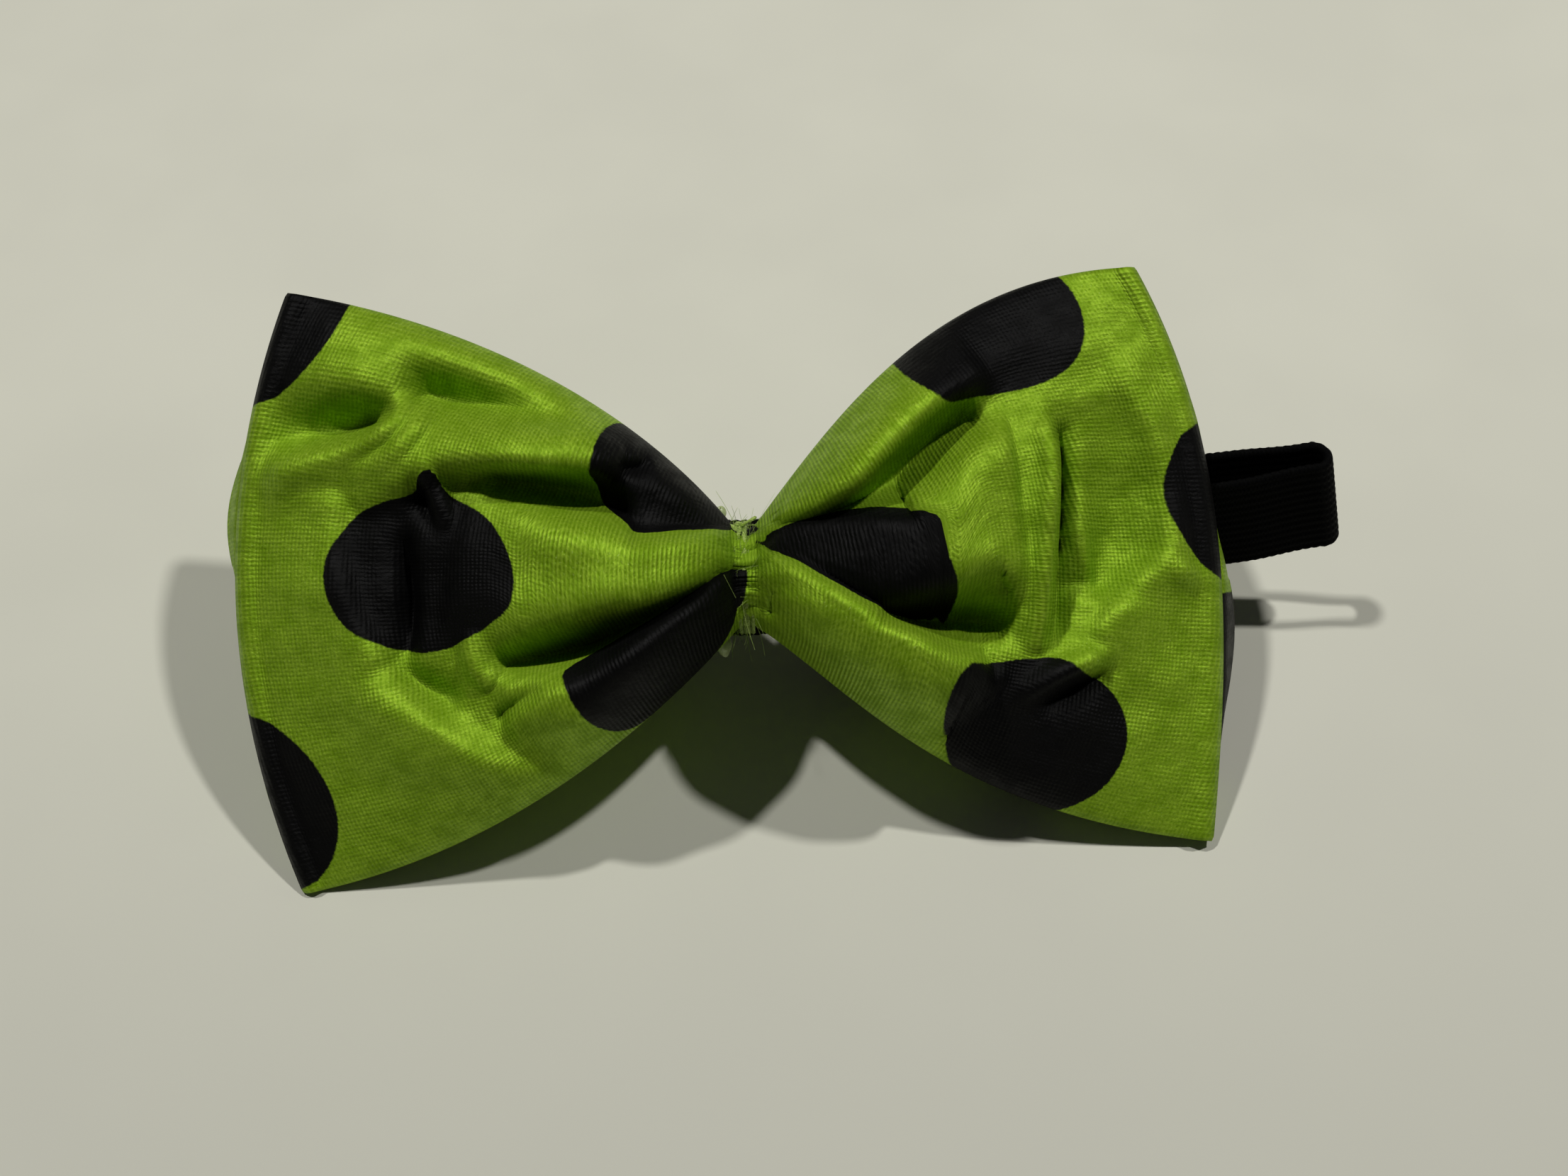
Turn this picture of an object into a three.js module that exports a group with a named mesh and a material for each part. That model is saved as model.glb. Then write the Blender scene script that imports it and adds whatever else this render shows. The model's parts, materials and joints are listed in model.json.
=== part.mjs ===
// A fabric hair bow on an elastic loop, lying on a table: a printed knit tube, sewn shut at both ends,
// pinched at its middle by a few turns of thread, with a loop of flat elastic caught behind the pinch.
//
// Millimetres, +Z up, origin on the table under the middle of the bow's box.
// The bow leans back. Inside the leaning group x runs along the bow, y up its height and z out of its front.
import * as THREE from "three";

const { sin, cos, exp, max, min, sqrt, PI } = Math;

// ---------- driving dimensions ----------
const LEAN = THREE.MathUtils.degToRad(38); // the bow's height direction above the table
const WAIST_HEIGHT = 19.6; // the middle of the pinch above the table
const CLOTH = 0.6; // one layer of the printed knit
const GAP = 0.3; // clearance between pieces that touch

// Half outlines of the two lobes seen from the front: Bezier points from the pinch out to the end seam.
// bellyAt is where the back sags most, from -1 at the bottom fold to 1 at the top fold.
const LOBES = {
  left: {
    side: -1,
    top: [[1.7, 5.6], [9, 15.5], [24, 27.5], [48.1, 32.5]],
    bottom: [[1.7, -5.4], [12, -16], [28, -28], [49.2, -31.7]],
    seam: [[49.2, -31.7], [57, -14], [57, 14], [48.1, 32.5]],
    frontPuff: 9,
    upperBackPuff: 9,
    bellyAt: -0.38,
  },
  right: {
    side: 1,
    top: [[1.7, 5.6], [11, 17], [22, 31.5], [43.2, 31.3]],
    bottom: [[1.7, -5.4], [11, -12], [21, -26], [49, -30.3]],
    seam: [[49, -30.3], [51.5, -10], [53.4, 12], [43.2, 31.3]],
    frontPuff: 9,
    upperBackPuff: 2,
    bellyAt: -0.5,
  },
};
const WAIST_DEPTH = 3.2; // half the pinch from front to back
const BELLY_DEPTH = 21; // how far the slack back of a lobe sags towards the table
const BELLY_SPREAD = 0.45;
const BACK_PUFF = 3; // how far the back stands off everywhere else
const UPPER_BACK = { from: -0.3, power: 0.3 }; // where the upper back starts to fill out, and how sharply
const SWELL = { reach: 0.9, front: 0.7, back: 0.85 }; // how fast a lobe fills out from the pinch
const EDGE_SHARE = 0.4; // how much of the cloth's thickness is left at the top and bottom folds
const SECTION_CROWDING = 1.2; // sections sit closer together near the pinch

const SEAM_RADIUS = 0.5;
const BACK_SEAM_RADIUS = 0.4;
const BACK_SEAM_REACH = 1; // from the cloth's back to the middle of the seam's ridge
const BACK_SEAM_AT = 0.06; // the tube's own seam, as a share of the half height above the middle
const BACK_SEAM_LENGTH = 0.94; // the share of each lobe that its ridge runs along
const THREAD_RADIUS = 0.35;
const THREAD_TURNS = 3;
const THREAD_PITCH = 0.85;
const KNOT_RADIUS = 0.8;
const KNOT_STRETCH = [1.3, 0.8, 0.9];
const KNOT_ANGLE = PI / 3; // round the pinch from its front, where the thread starts and is tied
const BINDING = { halfHeight: 7, front: 4.6, back: 9.3, frontPower: 0.9, backPower: 0.25 };
const GLUE_BEADS = {
  glue_bead_lower: { at: [-2.8, -7.4, -4.4], size: [0.8, 1, 1.4] },
  glue_bead_upper: { at: [-2.6, 7.3, -4.9], size: [0.6, 0.6, 0.9] },
};

const ELASTIC_WIDTH = 12;
const ELASTIC_THICKNESS = 1.1;
const ELASTIC_HEIGHT = 14.2; // the loop's middle line above the table
const ELASTIC_DOUBLE = 2 * ELASTIC_THICKNESS + 0.1; // the two ends sewn together under the pinch
const JOIN_AT = 6; // the row of stitches that joins the elastic's two ends
const JOIN_HALF_WIDTH = 0.8;
const JOIN_LENGTH = 9;
const STITCHES = 14;
const STITCH_RADIUS = 0.2;
const ELASTIC_TOP_LEAN = 10; // degrees that the free loop leans back from upright
const ELASTIC_EDGE = { inset: 0.4, thinness: 0.6 }; // the band's rounded edges
const TWIST_FROM = 1.5; // where the band starts to turn upright
// The room that the back of the cloth leaves round the band.
const ELASTIC_ROOM = { edge: 0.5, below: 2.2, pastEnd: 2, least: 1.2 };
// The loop's middle line seen from above, [x, y], and how far apart its two runs are there.
const ANCHOR_FROM = -2.4;
const ANCHOR_TO = 12.9;
const RUNS_FROM = 14.8;
const TIP_FROM = 52.6;
const LOOP_END = 65.4;
const LOOP_LINE = [[-2.4, 4.3], [1.5, 4.3], [14.4, 7.4], [30, 9.3], [45, 9.9], [56, 9.6], [65.4, 9.2]];
const LOOP_RISE = [[36, 0], [44, 0.3], [56, 2.2], [65.4, 4.4]]; // how far the loop lifts towards its end
const LOOP_SPREAD = [[14.8, 1.4], [30, 3.4], [45, 4.4], [56, 4.2], [61.5, 3.2], [65.4, 3.2]];

const SECTION_STEPS = 26; // points across one face of a lobe
const LOBE_STEPS = 22; // sections from the pinch to the end seam

const KNIT = { color: 0x7fa51f, roughness: 0.75, metalness: 0 };
const THREAD = { color: 0xa9c45a, roughness: 0.7, metalness: 0 };
const GLUE = { color: 0xb9cc8c, roughness: 0.25, metalness: 0 };
const ELASTIC = { color: 0x060606, roughness: 0.85, metalness: 0 };
const BLACK_THREAD = { color: 0x0c0c0c, roughness: 0.7, metalness: 0 };


// ---------- small helpers ----------
function bezier(points, t) {
  const s = 1 - t;
  const w = [s * s * s, 3 * s * s * t, 3 * s * t * t, t * t * t];
  return [0, 1].map((axis) => w.reduce((sum, k, i) => sum + k * points[i][axis], 0));
}

// The lesser of two depths, rounded where they cross.
const softMin = (a, b) => (a + b - sqrt((a - b) ** 2 + 1)) / 2;

// A smooth value along x from a short list of [x, value].
function along(list, x) {
  const first = list[0][0];
  const last = list[list.length - 1][0];
  const at = min(max(x, first), last);
  let i = 1;
  while (i < list.length - 1 && list[i][0] < at) i += 1;
  const [x0, y0] = list[i - 1];
  const [x1, y1] = list[i];
  const slope = (k) => {
    const a = list[max(k - 1, 0)];
    const b = list[min(k + 1, list.length - 1)];
    return (b[1] - a[1]) / (b[0] - a[0]);
  };
  const t = (at - x0) / (x1 - x0);
  const span = x1 - x0;
  return (
    (2 * t ** 3 - 3 * t ** 2 + 1) * y0 +
    (t ** 3 - 2 * t ** 2 + t) * span * slope(i - 1) +
    (3 * t ** 2 - 2 * t ** 3) * y1 +
    (t ** 3 - t ** 2) * span * slope(i)
  );
}

// Closes a row of equal rings of points into one solid, with a fan over each end.
function loft(rings) {
  const count = rings[0].length;
  const positions = [];
  const index = [];
  rings.forEach((ring) => ring.forEach((p) => positions.push(p.x, p.y, p.z)));
  for (let r = 0; r < rings.length - 1; r += 1) {
    for (let i = 0; i < count; i += 1) {
      const j = (i + 1) % count;
      const a = r * count + i;
      const b = r * count + j;
      index.push(a, b, b + count, a, b + count, a + count);
    }
  }
  [0, rings.length - 1].forEach((r) => {
    const middle = rings[r].reduce((sum, p) => sum.add(p), new THREE.Vector3()).divideScalar(count);
    const centre = positions.length / 3;
    positions.push(middle.x, middle.y, middle.z);
    for (let i = 0; i < count; i += 1) {
      const a = r * count + i;
      const b = r * count + ((i + 1) % count);
      index.push(...(r === 0 ? [b, a, centre] : [a, b, centre]));
    }
  });
  const geometry = new THREE.BufferGeometry();
  geometry.setAttribute("position", new THREE.Float32BufferAttribute(positions, 3));
  geometry.setIndex(index);
  geometry.computeVertexNormals();
  return geometry;
}

function tube(points, radius, sides, stepsPerPoint) {
  const curve = new THREE.CatmullRomCurve3(points);
  const section = new THREE.Shape();
  section.absarc(0, 0, radius, 0, 2 * PI, false);
  return new THREE.ExtrudeGeometry(section, {
    extrudePath: curve,
    steps: points.length * stepsPerPoint,
    curveSegments: sides,
    bevelEnabled: false,
  });
}

function piece(name, geometry, look) {
  const mesh = new THREE.Mesh(geometry, new THREE.MeshStandardMaterial(look));
  mesh.name = name;
  return mesh;
}

// ---------- the printed knit tube ----------
// How far behind the bow's plane the table is, at height y up the bow.
const tableDepth = (y) => (WAIST_HEIGHT + y * sin(LEAN)) / cos(LEAN);

// How far behind the bow's plane a lobe may reach at x along the bow and y up it, to leave room for the
// elastic: the face of the near run, let out again above and below the band.
function elasticDepth(x, y) {
  const band = x < ANCHOR_TO ? ELASTIC_DOUBLE / 2 : loopSpread(x) / 2 + ELASTIC_THICKNESS / 2;
  const clear = band + BACK_SEAM_REACH + BACK_SEAM_RADIUS + 2 * GAP;
  const angle = acrossAngle(x);
  const forward = y * cos(LEAN) - loopY(x);
  const above = WAIST_HEIGHT + y * sin(LEAN) - ELASTIC_HEIGHT;
  const depth = (above * cos(angle) - forward * sin(angle) - clear) / cos(angle - LEAN);
  const reach = (forward + depth * sin(LEAN)) * cos(angle) + (above - depth * cos(LEAN)) * sin(angle);
  const edge = ELASTIC_WIDTH / 2 + ELASTIC_ROOM.edge;
  const pastEnd = ELASTIC_ROOM.pastEnd * max(ANCHOR_FROM - 1 - x, 0);
  const letOut = max(reach - edge, 0) + ELASTIC_ROOM.below * max(-edge - reach, 0) + pastEnd;
  return max(depth, ELASTIC_ROOM.least) + letOut;
}

// One point of a lobe: u from 0 at the pinch to 1 at the end seam, v from -1 at the bottom fold to 1 at
// the top fold, face 1 for the front and -1 for the back.
function lobePoint(lobe, u, v, face) {
  const share = (v + 1) / 2;
  const [xTop, yTop] = bezier(lobe.top, u);
  const [xBottom, yBottom] = bezier(lobe.bottom, u);
  const straight = xBottom + (xTop - xBottom) * share;
  const seamStraight = lobe.bottom[3][0] + (lobe.top[3][0] - lobe.bottom[3][0]) * share;
  const bulge = (bezier(lobe.seam, share)[0] - seamStraight) * u * u;
  const x = straight + bulge;
  const y = yBottom + (yTop - yBottom) * share;
  const round = sqrt(max(1 - v * v, 0));
  const swell = sin(PI * u ** SWELL.reach) ** (face > 0 ? SWELL.front : SWELL.back);
  const waist = WAIST_DEPTH * (1 - u) ** 3;
  const edge = CLOTH * max(round, EDGE_SHARE);
  if (face > 0) return new THREE.Vector3(x, y, edge + (waist + lobe.frontPuff * swell) * round);
  const belly = BELLY_DEPTH * exp(-(((v - lobe.bellyAt) / BELLY_SPREAD) ** 2));
  const upper = lobe.upperBackPuff * max(v - UPPER_BACK.from, 0) ** UPPER_BACK.power;
  const depth = (waist + (BACK_PUFF + upper + belly) * swell) * round;
  const clear = softMin(edge + depth, elasticDepth(lobe.side * x, y));
  return new THREE.Vector3(x, y, -min(clear, tableDepth(y)));
}

function lobeRing(lobe, u) {
  const ring = [];
  for (let i = 0; i <= SECTION_STEPS; i += 1) {
    ring.push(lobePoint(lobe, u, -cos((PI * i) / SECTION_STEPS), 1));
  }
  for (let i = SECTION_STEPS; i >= 0; i -= 1) {
    ring.push(lobePoint(lobe, u, -cos((PI * i) / SECTION_STEPS), -1));
  }
  ring.forEach((p) => {
    p.x *= lobe.side;
  });
  return ring;
}

function bowFabric() {
  const rings = [];
  const place = (k) => (k / LOBE_STEPS) ** SECTION_CROWDING;
  for (let k = LOBE_STEPS; k >= 0; k -= 1) rings.push(lobeRing(LOBES.left, place(k)));
  for (let k = 0; k <= LOBE_STEPS; k += 1) rings.push(lobeRing(LOBES.right, place(k)));
  return loft(rings.map((ring) => ring.reverse()));
}

// ---------- sewing ----------
function endSeam(lobe) {
  const points = [];
  const steps = 10;
  for (let i = 0; i <= steps; i += 1) {
    const [x, y] = bezier(lobe.seam, i / steps);
    const lift = max(SEAM_RADIUS / cos(LEAN) - tableDepth(y), 0);
    points.push(new THREE.Vector3(lobe.side * (x + SEAM_RADIUS + GAP), y, lift));
  }
  return tube(points, SEAM_RADIUS, 8, 2);
}

function backSeam() {
  const points = [];
  const steps = 12;
  const beside = 0.02;
  const add = (lobe, u) => {
    const p = lobePoint(lobe, u, BACK_SEAM_AT, -1);
    const q = lobePoint(lobe, u + beside, BACK_SEAM_AT, -1);
    const r = lobePoint(lobe, u, BACK_SEAM_AT + 2 * beside, -1);
    const out = q.clone().sub(p).cross(r.clone().sub(p)).normalize().multiplyScalar(-BACK_SEAM_REACH);
    out.z = -Math.abs(out.z);
    const at = p.add(out);
    at.x *= lobe.side;
    points.push(at);
  };
  for (let k = steps; k >= 0; k -= 1) add(LOBES.left, (BACK_SEAM_LENGTH * k) / steps);
  for (let k = 0; k <= steps; k += 1) add(LOBES.right, (BACK_SEAM_LENGTH * k) / steps);
  return tube(points, BACK_SEAM_RADIUS, 8, 2);
}

// ---------- the pinch ----------
// The thread's way round the pinch and the elastic behind it: a rounded rectangle.
function bindingPoint(angle, x) {
  const square = (value, power) => Math.sign(value) * Math.abs(value) ** power;
  const front = cos(angle) > 0;
  const depth = front ? BINDING.front : BINDING.back;
  const power = front ? BINDING.frontPower : BINDING.backPower;
  return new THREE.Vector3(
    x,
    BINDING.halfHeight * square(sin(angle), power),
    depth * square(cos(angle), power),
  );
}

function gatherThread() {
  const points = [];
  const perTurn = 24;
  const total = THREAD_TURNS * perTurn;
  for (let i = 0; i <= total; i += 1) {
    const x = (i / total - 0.5) * THREAD_TURNS * THREAD_PITCH;
    points.push(bindingPoint((2 * PI * i) / perTurn + KNOT_ANGLE, x));
  }
  return tube(points, THREAD_RADIUS, 6, 1);
}

function gatherKnot() {
  const knot = new THREE.SphereGeometry(KNOT_RADIUS, 14, 10);
  knot.scale(...KNOT_STRETCH);
  const at = bindingPoint(KNOT_ANGLE, 0);
  const out = at.clone().normalize().multiplyScalar(THREAD_RADIUS + GAP + KNOT_RADIUS);
  knot.translate(-THREAD_PITCH, at.y + out.y, at.z + out.z);
  return knot;
}

// A bead of hot glue squeezed out beside the thread.
function glueBead({ at, size }) {
  const bead = new THREE.SphereGeometry(1, 14, 10);
  bead.scale(...size);
  bead.translate(...at);
  return bead;
}

// ---------- the elastic ----------
const loopY = (x) => along(LOOP_LINE, x);
const loopSpread = (x) => along(LOOP_SPREAD, x);
const loopMiddle = (x) => new THREE.Vector3(x, loopY(x), ELASTIC_HEIGHT + along(LOOP_RISE, x));

function loopHeading(x) {
  const step = 0.5;
  return new THREE.Vector3(2 * step, loopY(x + step) - loopY(x - step), 0).normalize();
}

// The band's width lies along the bow's height under the pinch and turns upright by the end of the anchor.
function acrossAngle(x) {
  const t = THREE.MathUtils.smoothstep(x, TWIST_FROM, ANCHOR_TO);
  return THREE.MathUtils.lerp(LEAN, THREE.MathUtils.degToRad(90 - ELASTIC_TOP_LEAN), t);
}

function across(x) {
  return new THREE.Vector3(0, cos(acrossAngle(x)), sin(acrossAngle(x)));
}

// One cross-section of the band, centred offset mm behind the loop's middle line at x. way is 1 where the
// band runs out along the loop and -1 where it comes back.
function bandRing(x, offset, thickness, way = 1) {
  const heading = loopHeading(x);
  const up = across(x);
  const out = new THREE.Vector3().crossVectors(heading, up).multiplyScalar(way).normalize();
  const away = new THREE.Vector3(-heading.y, heading.x, 0);
  const middle = loopMiddle(x).addScaledVector(away, offset);
  return ringAt(middle, up, out, thickness);
}

function ringAt(middle, up, out, thickness) {
  const w = ELASTIC_WIDTH / 2;
  const inner = w - ELASTIC_EDGE.inset;
  const t = thickness / 2;
  const thin = t * ELASTIC_EDGE.thinness;
  const face = [[-w, -thin], [-inner, -t], [inner, -t], [w, -thin]];
  const corners = [...face, ...face.map(([a, b]) => [-a, -b])];
  return corners.map(([a, b]) => middle.clone().addScaledVector(up, a).addScaledVector(out, b));
}

function strip(from, to, steps, offsetAt, thickness) {
  const rings = [];
  for (let i = 0; i <= steps; i += 1) {
    const x = from + ((to - from) * i) / steps;
    rings.push(bandRing(x, offsetAt(x), thickness));
  }
  return loft(rings);
}

const elasticAnchor = () => strip(ANCHOR_FROM, ANCHOR_TO, 12, () => 0, ELASTIC_DOUBLE);
const nearRun = () => strip(RUNS_FROM, TIP_FROM - GAP, 16, (x) => -loopSpread(x) / 2, ELASTIC_THICKNESS);
const farRun = () => strip(RUNS_FROM, TIP_FROM - GAP, 16, (x) => loopSpread(x) / 2, ELASTIC_THICKNESS);

// Out along the near run, round the end, and back along the far run.
function elasticTip() {
  const rings = [];
  const steps = 8;
  const turnSteps = 8;
  const radius = loopSpread(LOOP_END) / 2;
  for (let i = 0; i < steps; i += 1) {
    const x = TIP_FROM + ((LOOP_END - radius - TIP_FROM) * i) / steps;
    rings.push(bandRing(x, -loopSpread(x) / 2, ELASTIC_THICKNESS));
  }
  const x = LOOP_END - radius;
  const heading = loopHeading(x);
  const away = new THREE.Vector3(-heading.y, heading.x, 0);
  const centre = loopMiddle(x);
  const up = across(x);
  for (let i = 0; i <= turnSteps; i += 1) {
    const angle = (PI * i) / turnSteps - PI / 2;
    const radial = heading.clone().multiplyScalar(cos(angle)).addScaledVector(away, sin(angle));
    const tangent = heading.clone().multiplyScalar(-sin(angle)).addScaledVector(away, cos(angle));
    const middle = centre.clone().addScaledVector(radial, radius);
    const out = new THREE.Vector3().crossVectors(tangent, up).normalize();
    rings.push(ringAt(middle, up, out, ELASTIC_THICKNESS));
  }
  for (let i = steps - 1; i >= 0; i -= 1) {
    const back = TIP_FROM + ((LOOP_END - radius - TIP_FROM) * i) / steps;
    rings.push(bandRing(back, loopSpread(back) / 2, ELASTIC_THICKNESS, -1));
  }
  return loft(rings);
}

// A zigzag of black thread through the two ends of the elastic, on the side away from the bow.
function joinStitches() {
  const points = [];
  const lift = ELASTIC_DOUBLE / 2 + GAP + STITCH_RADIUS;
  for (let i = 0; i <= STITCHES; i += 1) {
    const x = JOIN_AT + (i % 2 ? 1 : -1) * JOIN_HALF_WIDTH;
    const a = (i / STITCHES - 0.5) * JOIN_LENGTH;
    const heading = loopHeading(x);
    const back = new THREE.Vector3().crossVectors(heading, across(x)).normalize().multiplyScalar(-1);
    points.push(loopMiddle(x).addScaledVector(across(x), a).addScaledVector(back, lift));
  }
  return tube(points, STITCH_RADIUS, 6, 3);
}

// ---------- assembly ----------
const bow = new THREE.Group();
bow.rotation.x = LEAN;
bow.position.z = WAIST_HEIGHT;
bow.add(piece("bow_fabric", bowFabric(), KNIT));
bow.add(piece("left_end_seam", endSeam(LOBES.left), THREAD));
bow.add(piece("right_end_seam", endSeam(LOBES.right), THREAD));
bow.add(piece("back_seam", backSeam(), THREAD));
bow.add(piece("gather_thread", gatherThread(), THREAD));
bow.add(piece("gather_knot", gatherKnot(), THREAD));
Object.entries(GLUE_BEADS).forEach(([name, bead]) => bow.add(piece(name, glueBead(bead), GLUE)));

const loop = new THREE.Group();
loop.add(piece("elastic_anchor", elasticAnchor(), ELASTIC));
loop.add(piece("elastic_near_run", nearRun(), ELASTIC));
loop.add(piece("elastic_far_run", farRun(), ELASTIC));
loop.add(piece("elastic_tip", elasticTip(), ELASTIC));
loop.add(piece("elastic_join_stitches", joinStitches(), BLACK_THREAD));

const assembly = new THREE.Group();
assembly.add(bow, loop);
const box = new THREE.Box3().setFromObject(assembly, true);
const middle = box.getCenter(new THREE.Vector3());
assembly.position.set(-middle.x, -middle.y, -box.min.z);

export default assembly;
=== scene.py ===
"""A printed knit hair bow on an elastic loop, lying on a pale table: cloth, sewing, elastic and studio."""

import json
import math

import bpy
import numpy as np
from mathutils import Matrix, Vector


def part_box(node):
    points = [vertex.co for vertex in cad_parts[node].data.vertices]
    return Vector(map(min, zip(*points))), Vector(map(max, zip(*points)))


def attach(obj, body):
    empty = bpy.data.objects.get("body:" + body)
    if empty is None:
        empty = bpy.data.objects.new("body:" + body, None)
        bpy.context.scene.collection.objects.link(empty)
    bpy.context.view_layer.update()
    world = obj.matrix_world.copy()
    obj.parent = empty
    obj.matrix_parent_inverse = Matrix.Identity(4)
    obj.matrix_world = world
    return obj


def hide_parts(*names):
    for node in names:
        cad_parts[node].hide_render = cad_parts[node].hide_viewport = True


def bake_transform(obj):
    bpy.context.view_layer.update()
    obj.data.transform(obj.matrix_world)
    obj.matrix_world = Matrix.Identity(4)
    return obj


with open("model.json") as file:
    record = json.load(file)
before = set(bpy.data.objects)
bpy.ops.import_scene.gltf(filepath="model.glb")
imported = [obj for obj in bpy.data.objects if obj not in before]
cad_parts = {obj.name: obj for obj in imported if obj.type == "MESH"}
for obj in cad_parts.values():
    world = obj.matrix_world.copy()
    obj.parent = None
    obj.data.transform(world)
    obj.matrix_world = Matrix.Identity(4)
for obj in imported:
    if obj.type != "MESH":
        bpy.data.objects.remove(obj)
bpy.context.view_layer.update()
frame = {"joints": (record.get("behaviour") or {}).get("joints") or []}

# ---------- sizes, in millimetres ----------
# The lean, pinch, belly and elastic are sized as in the CAD part; the cloth and thread are finer here.
MM = 0.001
LEAN = math.radians(38)
WAIST_HEIGHT = 19.6
WAIST_DEPTH = 3.2
WAIST_HALF = 1.7
CLOTH = 0.45
HALF_TUBE = 33.0  # the flat tube's half width, measured on the cloth
GATHERED = (26.5, 17.5)  # between these distances from the pinch the cloth goes from flat to gathered
HIDDEN = 0.36  # the share of the gathered cloth that is folded out of sight in the tucks
BELLY_DEPTH = 21.0
BELLY_SPREAD = 0.45
ROLL_SPAN = 0.1  # the share of a lobe over which the back panel rolls out past the end seam
ROLL_DROP = 0.95  # how far that roll sinks behind the front for each millimetre it reaches out
SEAM_BEAD = (0.7, 0.03)  # the front's turned edge along the end seams: its rise, and its share of a lobe
SEAM_GROOVE = (1.5, 0.035)  # the crease behind that edge, likewise
ROLL_LEAST = 0.35  # the share of the roll that is left away from its middle
ROLL_POWER = 0.8
BACK_PUFF = 3
UPPER_BACK = (-0.3, 0.3)  # where the upper back starts to fill out, and how sharply
SWELL_SKEW = 0.9  # how fast a lobe fills out from the pinch
FRONT_SWELL = 0.7
BACK_SWELL = 0.85
HEM_ARCH = (0.8, 1.3)  # the shape of the bottom fold's lift along a lobe
HEM_FALL = 1.6  # how fast that lift dies out up the bow
RELIEF_FADE = (1.0, 0.93)  # the folds run out between these shares of a lobe
EDGE_POWER = 7  # and as sharply as this towards the top and bottom folds
FRONT_CRUMPLE = (0.22, (9, 5, 14, 3))  # rise, then the count, shortest and longest of its waves, and seed
BACK_CRUMPLE = (0.5, (9, 7, 18, 5))
CRUMPLE_GROWS = (0, 0.2)
PLEAT_RISE = 0.25
PLEAT_COUNT = 5.5
PLEAT_SHIFT = 0.6
PLEAT_REACH = 5
TUCK_LEAST = 0.02  # what every bit of the front takes of the hidden cloth
RING_SPREAD = (0.86, 0.07)  # keeps the points of a ring from crowding at the folds

ELASTIC_WIDTH = 12.0
ELASTIC_THICKNESS = 1.1
ELASTIC_HEIGHT = 14.2
ELASTIC_DOUBLE = 2.3
ELASTIC_TOP_LEAN = 10.0
ANCHOR = (-2.4, 12.9)
HINGE = (14.4, 7.4)
LOOP_END = 65.4
LOOP_LINE = [(-2.4, 4.3), (1.5, 4.3), (14.4, 7.4), (30, 9.3), (45, 9.9), (56, 9.6), (65.4, 9.2)]
LOOP_RISE = [(36, 0), (44, 0.3), (56, 2.2), (65.4, 4.4)]
LOOP_SPREAD = [(12.9, 1.1), (14.8, 1.4), (30, 3.4), (45, 4.4), (56, 4.2), (61.5, 3.2), (65.4, 3.2)]
LOOP_DROOP = 0.2  # how far the loop's end leans out at its lower edge
TWIST_FROM = 1.5  # where the band starts to turn upright
ELASTIC_ROOM = {"clear": 1.6, "edge": 0.5, "below": 2.2, "past_end": 2, "least": 1.2}
ELASTIC_ROUNDING = 1  # how softly the back bends where it meets the elastic, and the table
TABLE_ROUNDING = 0.4
TABLE_GAP = 0.1
STOP_STEP = 0.3
BAND_INSET = 0.12  # the band's edges, and the teeth along them
TOOTH = (0.14, 0.95)  # depth and pitch
RIB_RISE = 0.055
EDGE_THINNING = (0.5, 0.35)  # over what width the band thins to its edge, and to what share
BAND_SKIN = 0.08

RIB_PITCH = 0.92
BAND_SPLIT = 20.0  # where the strap's inner and outer pieces meet on both runs
STRETCHES = (BAND_SPLIT + 1, 51.0)  # the loop's stretching part runs between these places; build only works out where they are
JOIN_AT = 6.0
JOIN_HALF_WIDTH = 0.8
JOIN_LENGTH = 9.0
JOIN_STITCHES = 14
JOIN_DIVES = (-0.25, 0.12)  # how far a stitch goes into the band and stands off it
JOIN_THREAD = 0.2

BACK_SEAM_AT = 0.06
BIND_TURNS = 4
BIND_WIDTH = 1.7
BIND_AT = -0.3
BIND_RADIUS = 0.24
BIND_HALF = 5.15
BIND_FRONT = 3.5
BIND_BACK = 8.5
BIND_BACK_HALF = 6.6
BIND_POWERS = {"front": 0.85, "back": 0.25, "widening": 0.4, "depth": 0.35}
BIND_STEPS = 110
BIND_TWISTS = 26
BIND_WANDER = 0.16
BIND_LIFT = 0.12
PLIES = 3
PLY_OFFSET = 0.5
PLY_SIZE = 0.58
KNOT_ANGLE = 1.25
KNOT_SIZE = 0.26
KNOT_PLACE = (-0.5, 0.35)  # beside the turns, and off them
LINT_COUNT = 150
LINT_THICK = (0.022, 0.045)
GLUE_GRID = (22, 32)
GLUE_LUMPS = 0.09
SEAM_STITCH = 2.6
SEAM_RISE = 0.16
SEAM_THREAD = 0.13
STITCH_STEPS = 8
RIDGE_PROFILE = [(-0.34, -0.2), (-0.3, 0.55), (-0.16, 0.8), (0.16, 0.8), (0.3, 0.55), (0.34, -0.2)]
RIDGE_LANES = [0, 0.7, 1, 1.3, 1.6, 2]
RIDGE_FLUTTER = (0.12, 0.55)

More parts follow.
